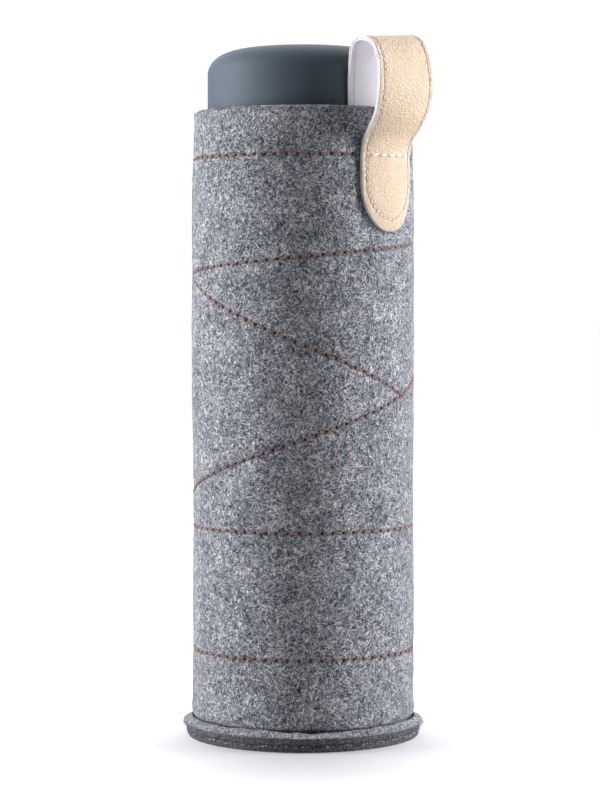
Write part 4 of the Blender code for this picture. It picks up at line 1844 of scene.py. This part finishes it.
@dataclass
class ScrewRib:
    """A rounded helical rib on a turned piece, tapered away at both ends."""

    name: str
    body: str
    finish: str
    radius: float
    height: float
    low: float
    turns: float
    outward: bool = True
    pitch: float = 3.0 * MM
    width: float = 1.7 * MM
    steps_per_turn: int = 72

    def build(self, material: Material) -> Piece:
        """Makes the rib and puts it on its body.

        Args:
            material: its material.

        Returns:
            The new object, a closed mesh whose base is sunk a little into the piece it stands on.
        """
        steps = int(self.turns * self.steps_per_turn)
        turn = np.linspace(0.0, self.turns, steps + 1)
        taper = np.clip(np.minimum(turn, self.turns - turn) / 0.12, 0.0, 1.0)
        taper = 0.08 + 0.92 * taper * taper * (3.0 - 2.0 * taper)
        side = 1.0 if self.outward else -1.0
        angle = np.radians(np.array([-35.0, 0.0, 30.0, 60.0, 90.0, 120.0, 150.0, 180.0, 215.0]))
        reach = self.radius + side * self.height * np.sin(angle)[None, :] * taper[:, None]
        swell = 0.5 * self.width * np.cos(angle)[None, :] * taper[:, None]
        level = (self.low + self.pitch * turn)[:, None] + swell
        bearing = 2 * math.pi * turn[:, None]
        points = np.stack([reach * np.sin(bearing), -reach * np.cos(bearing), level], axis=-1).reshape(-1, 3)
        ring = len(angle)
        quads = grid_faces(steps + 1, ring, False, True)
        quads = quads[:, ::-1] if self.outward else quads
        ends = [list(range(ring)), [steps * ring + k for k in reversed(range(ring))]]
        ends = [end[::-1] for end in ends] if self.outward else ends
        piece = make_piece(self.name, points, quads.tolist() + ends, material)
        return settle(piece, self.body)


@dataclass
class Flask:
    """The double-walled steel flask with its foot pad and neck collar."""

    wall: float = 0.6 * MM
    vessel_wall: float = 0.5 * MM
    recess: float = 1.2 * MM
    shoulder: float = 188.0 * MM
    shoulder_top: float = 194.2 * MM
    neck_radius: float = 26.2 * MM
    neck_foot: float = 196.0 * MM
    vessel_shoulder: float = 182.0 * MM
    vessel_neck: float = 24.3 * MM
    vessel_neck_foot: float = 191.0 * MM

    def shell_profile(self) -> list[Point2]:
        """The outer vessel's profile.

        Returns:
            Its (radius, height) points.
        """
        low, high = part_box("flask_shell")
        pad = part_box("foot_pad")[1].x
        radius, foot = high.x, low.z
        outer = [(0.0, foot + self.recess), (pad + 0.6 * MM, foot + self.recess), (pad + self.recess, foot)]
        outer += arc(radius - 3.5 * MM, foot + 3.5 * MM, 3.5 * MM, -90, 0, 8)
        outer += arc(radius - 3.0 * MM, self.shoulder, 3.0 * MM, 0, 60, 6)
        outer += [(self.neck_radius + 1.5 * MM, self.shoulder_top), (self.neck_radius, self.neck_foot)]
        outer += [(self.neck_radius, high.z)]
        return cup_profile(outer, self.wall)

    def vessel_profile(self) -> list[Point2]:
        """The inner vessel's profile, with its mouth turned out over the neck.

        Returns:
            Its (radius, height) points.
        """
        low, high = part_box("inner_vessel")
        radius, lip = high.x, high.z - self.vessel_wall
        outer = [(0.0, low.z)] + arc(radius - 6.0 * MM, low.z + 6.0 * MM, 6.0 * MM, -90, 0, 8)
        outer += arc(radius - 4.0 * MM, self.vessel_shoulder, 4.0 * MM, 0, 60, 6)
        outer += [(self.vessel_neck, self.vessel_neck_foot), (self.vessel_neck, lip)]
        profile = cup_profile(outer, self.vessel_wall)
        inside, outside = profile[: len(outer)], profile[len(outer):]
        inside[-1] = (self.vessel_neck - self.vessel_wall, lip + self.vessel_wall - 0.15 * MM)
        crown = [(self.vessel_neck - self.vessel_wall + 0.2 * MM, lip + self.vessel_wall)]
        crown += [(self.neck_radius - 0.2 * MM, lip + self.vessel_wall), (self.neck_radius, lip + 0.3 * MM)]
        return inside + crown + [(self.neck_radius, lip)] + outside

    def pad_profile(self) -> list[Point2]:
        """The foot pad's profile, with shallow rings underneath for grip.

        Returns:
            Its (radius, height) points.
        """
        low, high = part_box("foot_pad")
        reach = high.x
        outline = [(0.0, high.z)] + arc(reach - 0.4 * MM, high.z - 0.4 * MM, 0.4 * MM, 90, 0, 3)
        outline += arc(reach - 0.4 * MM, low.z + 0.4 * MM, 0.4 * MM, 0, -90, 3)
        for i in range(5):
            middle = reach * (0.86 - 0.16 * i)
            outline += [(middle + 1.1 * MM, low.z), (middle + 0.7 * MM, low.z + 0.4 * MM)]
            outline += [(middle - 0.7 * MM, low.z + 0.4 * MM), (middle - 1.1 * MM, low.z)]
        return outline + [(0.0, low.z)]

    def build(self, finishes: dict[str, Material]) -> list[Piece]:
        """Makes the flask's pieces.

        Args:
            finishes: the materials by finish.

        Returns:
            The new objects.
        """
        pieces = [
            RoundPiece("outer_vessel", "flask_shell", "flask", "slate_paint", self.shell_profile()),
            RoundPiece("drink_vessel", "inner_vessel", "flask", "steel", self.vessel_profile()),
            RoundPiece("grip_pad", "foot_pad", "flask", "silicone", self.pad_profile()),
            RoundPiece("lid_collar", "neck_collar", "flask", "dark_plastic",
                       band("neck_collar", 0.5 * MM), True),
        ]
        low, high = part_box("neck_collar")
        start = low.z + 1.4 * MM
        pieces.append(ScrewRib("collar_rib", "flask", "dark_plastic", high.x, 0.65 * MM, start, 2.1))
        return [piece.build(finishes[piece.finish]) for piece in pieces]


@dataclass
class Stopper:
    """The screw stopper: a hollow plug with its insulation, knob and seal."""

    bore: float = 19.6 * MM
    plug: float = 22.6 * MM
    groove: float = 21.3 * MM
    floor_thickness: float = 1.5 * MM
    seat: float = 206.1 * MM
    groove_low: float = 200.6 * MM
    groove_high: float = 204.0 * MM
    grip_radius: float = 19.5 * MM
    lobes: int = 9
    lobe_depth: float = 1.2 * MM

    def plug_profile(self) -> list[Point2]:
        """The hollow plug's profile.

        Returns:
            Its (radius, height) points.
        """
        low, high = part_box("stopper_body")
        edge, floor = high.x, low.z
        outline = [(0.0, floor + self.floor_thickness), (self.bore, floor + self.floor_thickness)]
        outline += [(self.bore, high.z - 0.3 * MM), (self.bore + 0.3 * MM, high.z)]
        outline += arc(edge - 1.0 * MM, high.z - 1.0 * MM, 1.0 * MM, 90, 0, 4)
        outline += arc(edge - 0.6 * MM, self.seat + 0.6 * MM, 0.6 * MM, 0, -90, 3)
        outline += [(self.plug, self.seat), (self.plug, self.groove_high), (self.groove, self.groove_high)]
        outline += [(self.groove, self.groove_low), (self.plug, self.groove_low)]
        outline += arc(self.plug - 2.0 * MM, floor + 2.0 * MM, 2.0 * MM, 0, -90, 5)
        return outline + [(0.0, floor)]

    def core_profile(self) -> list[Point2]:
        """The insulation's profile.

        Returns:
            Its (radius, height) points.
        """
        low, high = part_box("stopper_core")
        reach, ease = high.x, 0.8 * MM
        return ([(0.0, high.z)] + arc(reach - ease, high.z - ease, ease, 90, 0, 3)
                + arc(reach - ease, low.z + ease, ease, 0, -90, 3) + [(0.0, low.z)])

    def build_grip(self, plastic: Material) -> Piece:
        """Makes the knob: lobed for the fingers, with a softened edge and a dished top.

        Args:
            plastic: its material.

        Returns:
            The new object.
        """
        low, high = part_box("stopper_grip")
        ease, dish = 1.6 * MM, 0.5 * MM
        outline = [(0.0, high.z - dish), (self.grip_radius * 0.6, high.z - dish * 0.75)]
        outline += arc(self.grip_radius - ease, high.z - ease, ease, 96, 0, 6)
        outline += arc(self.grip_radius - 0.5 * MM, low.z + 0.5 * MM, 0.5 * MM, 0, -90, 3) + [(0.0, low.z)]
        piece = Turned("stopper_knob", outline, plastic, columns=216, step=1.2 * MM).build()
        mesh = piece.data
        points = np.empty(len(mesh.vertices) * 3)
        mesh.vertices.foreach_get("co", points)
        points = points.reshape(-1, 3)
        reach = np.hypot(points[:, 0], points[:, 1])
        bearing = np.arctan2(points[:, 1], points[:, 0])
        share = np.clip((reach - 0.6 * self.grip_radius) / (0.4 * self.grip_radius), 0.0, 1.0) ** 2
        swell = 1.0 + self.lobe_depth * np.cos(self.lobes * bearing) * share / np.maximum(reach, 1e-6)
        points[:, :2] *= swell[:, None]
        mesh.vertices.foreach_set("co", points.ravel())
        mesh.update()
        return piece

    def build(self, finishes: dict[str, Material]) -> list[Piece]:
        """Makes the stopper's pieces.

        Args:
            finishes: the materials by finish.

        Returns:
            The new objects.
        """
        pieces = [
            RoundPiece("stopper_plug", "stopper_body", "stopper", "dark_plastic", self.plug_profile()),
            RoundPiece("stopper_insulation", "stopper_core", "stopper", "foam", self.core_profile()),
            RoundPiece("stopper_ring", "stopper_seal", "stopper_ring", "silicone",
                       band("stopper_seal", 0.8 * MM), True),
        ]
        made = [piece.build(finishes[piece.finish]) for piece in pieces]
        grip = self.build_grip(finishes["dark_plastic"])
        return made + [settle(grip, "stopper", "stopper_grip")]


@dataclass
class CupLid:
    """The round-topped cup lid: a slate shell over a steel liner, closing on a silicone ring."""

    depth: float = 9.8 * MM
    squareness: float = 4.9
    wall: float = 1.3 * MM
    liner_wall: float = 0.8 * MM

    def side(self, radius: float, top: float, inset: float, foot: float) -> list[Point2]:
        """A lid's outer side, from its softly domed crown to its open edge.

        Args:
            radius: its radius.
            top: its height at the axis.
            inset: how far it is set in from the shell, which makes its shoulder shallower.
            foot: the height of its open edge.

        Returns:
            The side's profile.
        """
        depth, steps = self.depth - inset, 30
        shares = [math.sin(0.5 * math.pi * i / steps) ** 0.8 for i in range(steps + 1)]
        curve = [(share * radius, top - depth * (1.0 - math.sqrt(1.0 - share ** self.squareness)))
                 for share in shares]
        return curve + [(radius, foot)]

    def shell_profile(self) -> list[Point2]:
        """The shell's profile, with its open edge rounded.

        Returns:
            Its (radius, height) points.
        """
        low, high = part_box("cup_lid_shell")
        foot, lip = low.z, self.wall / 2
        outer = self.side(high.x, high.z, 0.0, foot + lip)
        inner = self.side(high.x - self.wall, high.z - self.wall, self.wall, foot + lip)
        edge = arc(high.x - lip, foot + lip, lip, -20, -160, 6)
        return outer + edge + inner[::-1]

    def liner_profile(self) -> list[Point2]:
        """The liner's profile.

        Returns:
            Its (radius, height) points.
        """
        low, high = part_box("cup_lid_liner")
        inset, foot, lip = 1.6 * MM, low.z, self.liner_wall / 2
        outer = self.side(high.x, high.z, inset, foot + lip)
        wall = self.liner_wall
        inner = self.side(high.x - wall, high.z - wall, inset + wall, foot + lip)
        edge = arc(high.x - lip, foot + lip, lip, -20, -160, 4)
        return outer + edge + inner[::-1]

    def build(self, finishes: dict[str, Material]) -> list[Piece]:
        """Makes the lid's pieces.

        Args:
            finishes: the materials by finish.

        Returns:
            The new objects.
        """
        pieces = [
            RoundPiece("cup_shell", "cup_lid_shell", "cup_lid", "slate_plastic", self.shell_profile()),
            RoundPiece("cup_liner", "cup_lid_liner", "cup_lid", "steel", self.liner_profile()),
            RoundPiece("closing_ring", "cup_lid_gasket", "lid_ring", "silicone",
                       band("cup_lid_gasket", 0.3 * MM), True),
        ]
        low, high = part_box("cup_lid_liner")
        bore, start = high.x - self.liner_wall, low.z + 2.2 * MM
        pieces.append(ScrewRib("liner_rib", "cup_lid", "steel", bore, 0.55 * MM, start, 2.1, False))
        return [piece.build(finishes[piece.finish]) for piece in pieces]


# ---------------------------------------------------------------- studio


@dataclass(frozen=True)
class Softbox:
    """A large soft light. Its bearing is from the camera's own side of the object, positive to the right."""

    name: str
    bearing: float
    distance: float
    height: float
    width: float
    tall: float
    power: float
    tint: Color = (1.0, 1.0, 1.0)


@dataclass
class Studio:
    """White floor and backdrop, tall softboxes either side, and the camera."""

    camera_bearing: float = -46.0
    camera_distance: float = 921.6 * MM
    camera_height: float = 161.5 * MM
    pitch: float = 2.348
    yaw: float = 0.074
    lens: float = 112.17
    # The floor's painted shadow pool: millimetres it lies toward the camera, its inner and outer reach in
    # millimetres, how much it is squeezed sideways, and the share of glow left at its middle.
    pool_shift: float = 35.0
    pool_inner: float = 10.0
    pool_outer: float = 125.0
    pool_squash: float = 1.9
    pool_level: float = 0.20
    boxes: tuple[Softbox, ...] = (
        Softbox("left_softbox", -89.0, 1.0, 0.30, 0.6, 1.3, 25.0),
        Softbox("right_softbox", 90.0, 1.0, 0.30, 0.6, 1.3, 25.0),
        Softbox("back_softbox", 180.0, 0.85, 0.95, 1.7, 1.1, 11.0),
    )

    def toward(self, bearing: float) -> Vector:
        """The level unit direction at a bearing from the camera's side."""
        angle = math.radians(self.camera_bearing + bearing)
        return Vector((math.sin(angle), -math.cos(angle), 0.0))

    def build_camera(self) -> None:
        """Puts the camera in front of the sleeve, a little to the loop's left."""
        data = bpy.data.cameras.new("camera")
        data.sensor_width = 36.0
        data.lens = self.lens
        data.dof.use_dof = False
        data.clip_start = 0.01
        data.clip_end = 50.0
        camera = bpy.data.objects.new("camera", data)
        bpy.context.scene.collection.objects.link(camera)
        camera.location = self.toward(0.0) * self.camera_distance + Vector((0.0, 0.0, self.camera_height))
        turn = math.radians(self.camera_bearing + self.yaw)
        camera.rotation_euler = (math.radians(90.0 - self.pitch), 0.0, turn)
        bpy.context.scene.camera = camera

    def build_lights(self) -> None:
        """Hangs the softboxes, each facing the middle of the object."""
        aim = Vector((0.0, 0.0, 0.125))
        for box in self.boxes:
            data = bpy.data.lights.new(box.name, "AREA")
            data.shape = "RECTANGLE"
            data.size, data.size_y = box.width, box.tall
            data.energy = box.power
            data.color = box.tint
            light = bpy.data.objects.new(box.name, data)
            bpy.context.scene.collection.objects.link(light)
            light.location = self.toward(box.bearing) * box.distance + Vector((0.0, 0.0, box.height))
            light.rotation_euler = (aim - light.location).to_track_quat("-Z", "Y").to_euler()
            light.visible_camera = False

    def build_floor(self) -> None:
        """Lays the white floor. Real shadows fall on its diffuse part; the glow that the camera sees of it is
        dimmed in a fixed oval pool at the foot, a painted shadow.
        """
        sheet = NodeSheet("floor_white")
        nodes, links = sheet.tree.nodes, sheet.tree.links
        sheet.set(Base_Color=(0.42, 0.42, 0.43, 1.0), Roughness=0.7, Specular_IOR_Level=0.1)
        glow = sheet.add("ShaderNodeEmission")
        glow.inputs["Color"].default_value = (0.96, 0.96, 1.0, 1.0)
        ray = sheet.add("ShaderNodeLightPath").outputs["Is Camera Ray"]
        # Painted shadow: the glow that only the camera sees is dimmed in an oval pool round a point just
        # before the foot, and grows back to full outside it.
        pool = self.toward(0.0) * self.pool_shift
        offset = sheet.vector("SUBTRACT", sheet.place(), tuple(pool)).outputs[0]
        side = sheet.vector("DOT_PRODUCT", offset, tuple(self.toward(90.0))).outputs["Value"]
        ahead = sheet.vector("DOT_PRODUCT", offset, tuple(self.toward(0.0))).outputs["Value"]
        wide = sheet.math("POWER", sheet.math("ABSOLUTE", side), 2.0)
        wide = sheet.math("MULTIPLY", wide, self.pool_squash)
        deep = sheet.math("POWER", sheet.math("ABSOLUTE", ahead), 2.0)
        reach = sheet.math("SQRT", sheet.math("ADD", wide, deep))
        spread = sheet.math("POWER", sheet.remap(reach, self.pool_inner, self.pool_outer), 1.3)
        open_floor = sheet.remap(spread, 0.0, 1.0, self.pool_level, 1.0)
        links.new(sheet.math("MULTIPLY", ray, open_floor), glow.inputs["Strength"])
        both = sheet.add("ShaderNodeAddShader")
        links.new(sheet.shader.outputs[0], both.inputs[0])
        links.new(glow.outputs[0], both.inputs[1])
        links.new(both.outputs[0], nodes["Material Output"].inputs["Surface"])
        size = 12.0
        points = np.array([(-size, -size, 0.0), (size, -size, 0.0), (size, size, 0.0), (-size, size, 0.0)])
        floor = make_piece("floor", points, [[0, 1, 2, 3]], sheet.material)

    def build_world(self) -> None:
        """A white backdrop to the eye, and a dim even fill as light."""
        world = bpy.data.worlds.new("studio")
        world.use_nodes = True
        bpy.context.scene.world = world
        tree = world.node_tree
        background = tree.nodes["Background"]
        background.inputs["Color"].default_value = (0.91, 0.96, 1.0, 1.0)
        path = tree.nodes.new("ShaderNodeLightPath")
        strength = tree.nodes.new("ShaderNodeMapRange")
        strength.inputs["To Min"].default_value = 0.10
        strength.inputs["To Max"].default_value = 1.15
        tree.links.new(path.outputs["Is Camera Ray"], strength.inputs["Value"])
        tree.links.new(strength.outputs[0], background.inputs["Strength"])
        bpy.context.scene.view_settings.view_transform = "Standard"
        bpy.context.scene.view_settings.look = "None"

    def build(self) -> None:
        """Sets up the whole studio."""
        self.build_camera()
        self.build_lights()
        self.build_floor()
        self.build_world()


# ---------------------------------------------------------------- assembly


def make_finishes(stitching: Topstitching, radius: float) -> dict[str, Material]:
    """Makes every finish once.

    Args:
        stitching: the sleeve's topstitching, whose holes the felt shows.
        radius: the radius that the sleeve is unrolled at.

    Returns:
        The materials by finish.
    """
    runs = tuple(run for name in stitching.runs for run in stitching.straight_runs(name, radius))
    return {
        # The wall gets painted crease shade at its foot, below about 7.7 mm.
        "felt": FeltFinish("heather_felt", runs=runs, crease_shade_below=7.7).material(),
        # The base discs get painted shade on their lower sides, below 5.4 mm.
        "base_felt": FeltFinish("heather_felt_base", painted_shade_below=5.4).material(),
        "fuzz": FuzzFinish("loose_wool").material(),
        "orange_thread": ThreadFinish("rust_thread", (0.20, 0.080, 0.055), (0.50, 0.255, 0.175)).material(),
        "grey_thread": ThreadFinish("grey_thread", (0.07, 0.075, 0.09), (0.22, 0.23, 0.26)).material(),
        "cream_thread": ThreadFinish("cream_thread", (0.80, 0.72, 0.62), (0.96, 0.93, 0.88)).material(),
        "leather": LeatherFinish("cream_leather").material(),
        "lining": LiningFinish("pale_lining").material(),
        "slate_plastic": SoftTouchFinish("slate_soft_touch").material(),
        "slate_paint": SoftTouchFinish("slate_paint", roughness=0.5).material(),
        "steel": SteelFinish("spun_steel").material(),
        "dark_plastic": MouldedFinish("dark_plastic", (0.020, 0.021, 0.024),
                                      (0.034, 0.035, 0.039)).material(),
        "silicone": MouldedFinish("grey_silicone", (0.26, 0.27, 0.29), (0.34, 0.35, 0.37),
                                  0.6, 1.2).material(),
        "foam": MouldedFinish("rigid_foam", (0.66, 0.64, 0.56), (0.78, 0.76, 0.69),
                              0.9, 1.6, 0.12).material(),
    }


def report(group: str, pieces: Sequence[Piece]) -> None:
    """Logs each piece with its face count."""
    for piece in pieces:
        LOG.info("%s: %s, %d faces", group, piece.name, len(piece.data.polygons))


def main() -> None:
    """Builds the object and its studio in order."""
    logging.basicConfig(level=logging.INFO, format="%(name)s %(message)s")
    stitching = Topstitching()
    sleeve = FeltSleeve(stitching)
    finishes = make_finishes(stitching, sleeve.radius)
    report("sleeve", [sleeve.build_wall(finishes["felt"]), *sleeve.build_base(finishes["base_felt"])])
    report("topstitching", sleeve.build_threads(finishes["orange_thread"]))
    report("seams", sleeve.build_seams(finishes["grey_thread"]))
    report("fuzz", sleeve.build_fuzz(finishes["fuzz"]))
    report("pull loop", PullLoop().build(finishes["leather"], finishes["lining"], finishes["cream_thread"]))
    report("flask", Flask().build(finishes))
    report("stopper", Stopper().build(finishes))
    report("cup lid", CupLid().build(finishes))
    Studio().build()


if __name__ == "__main__":
    main()
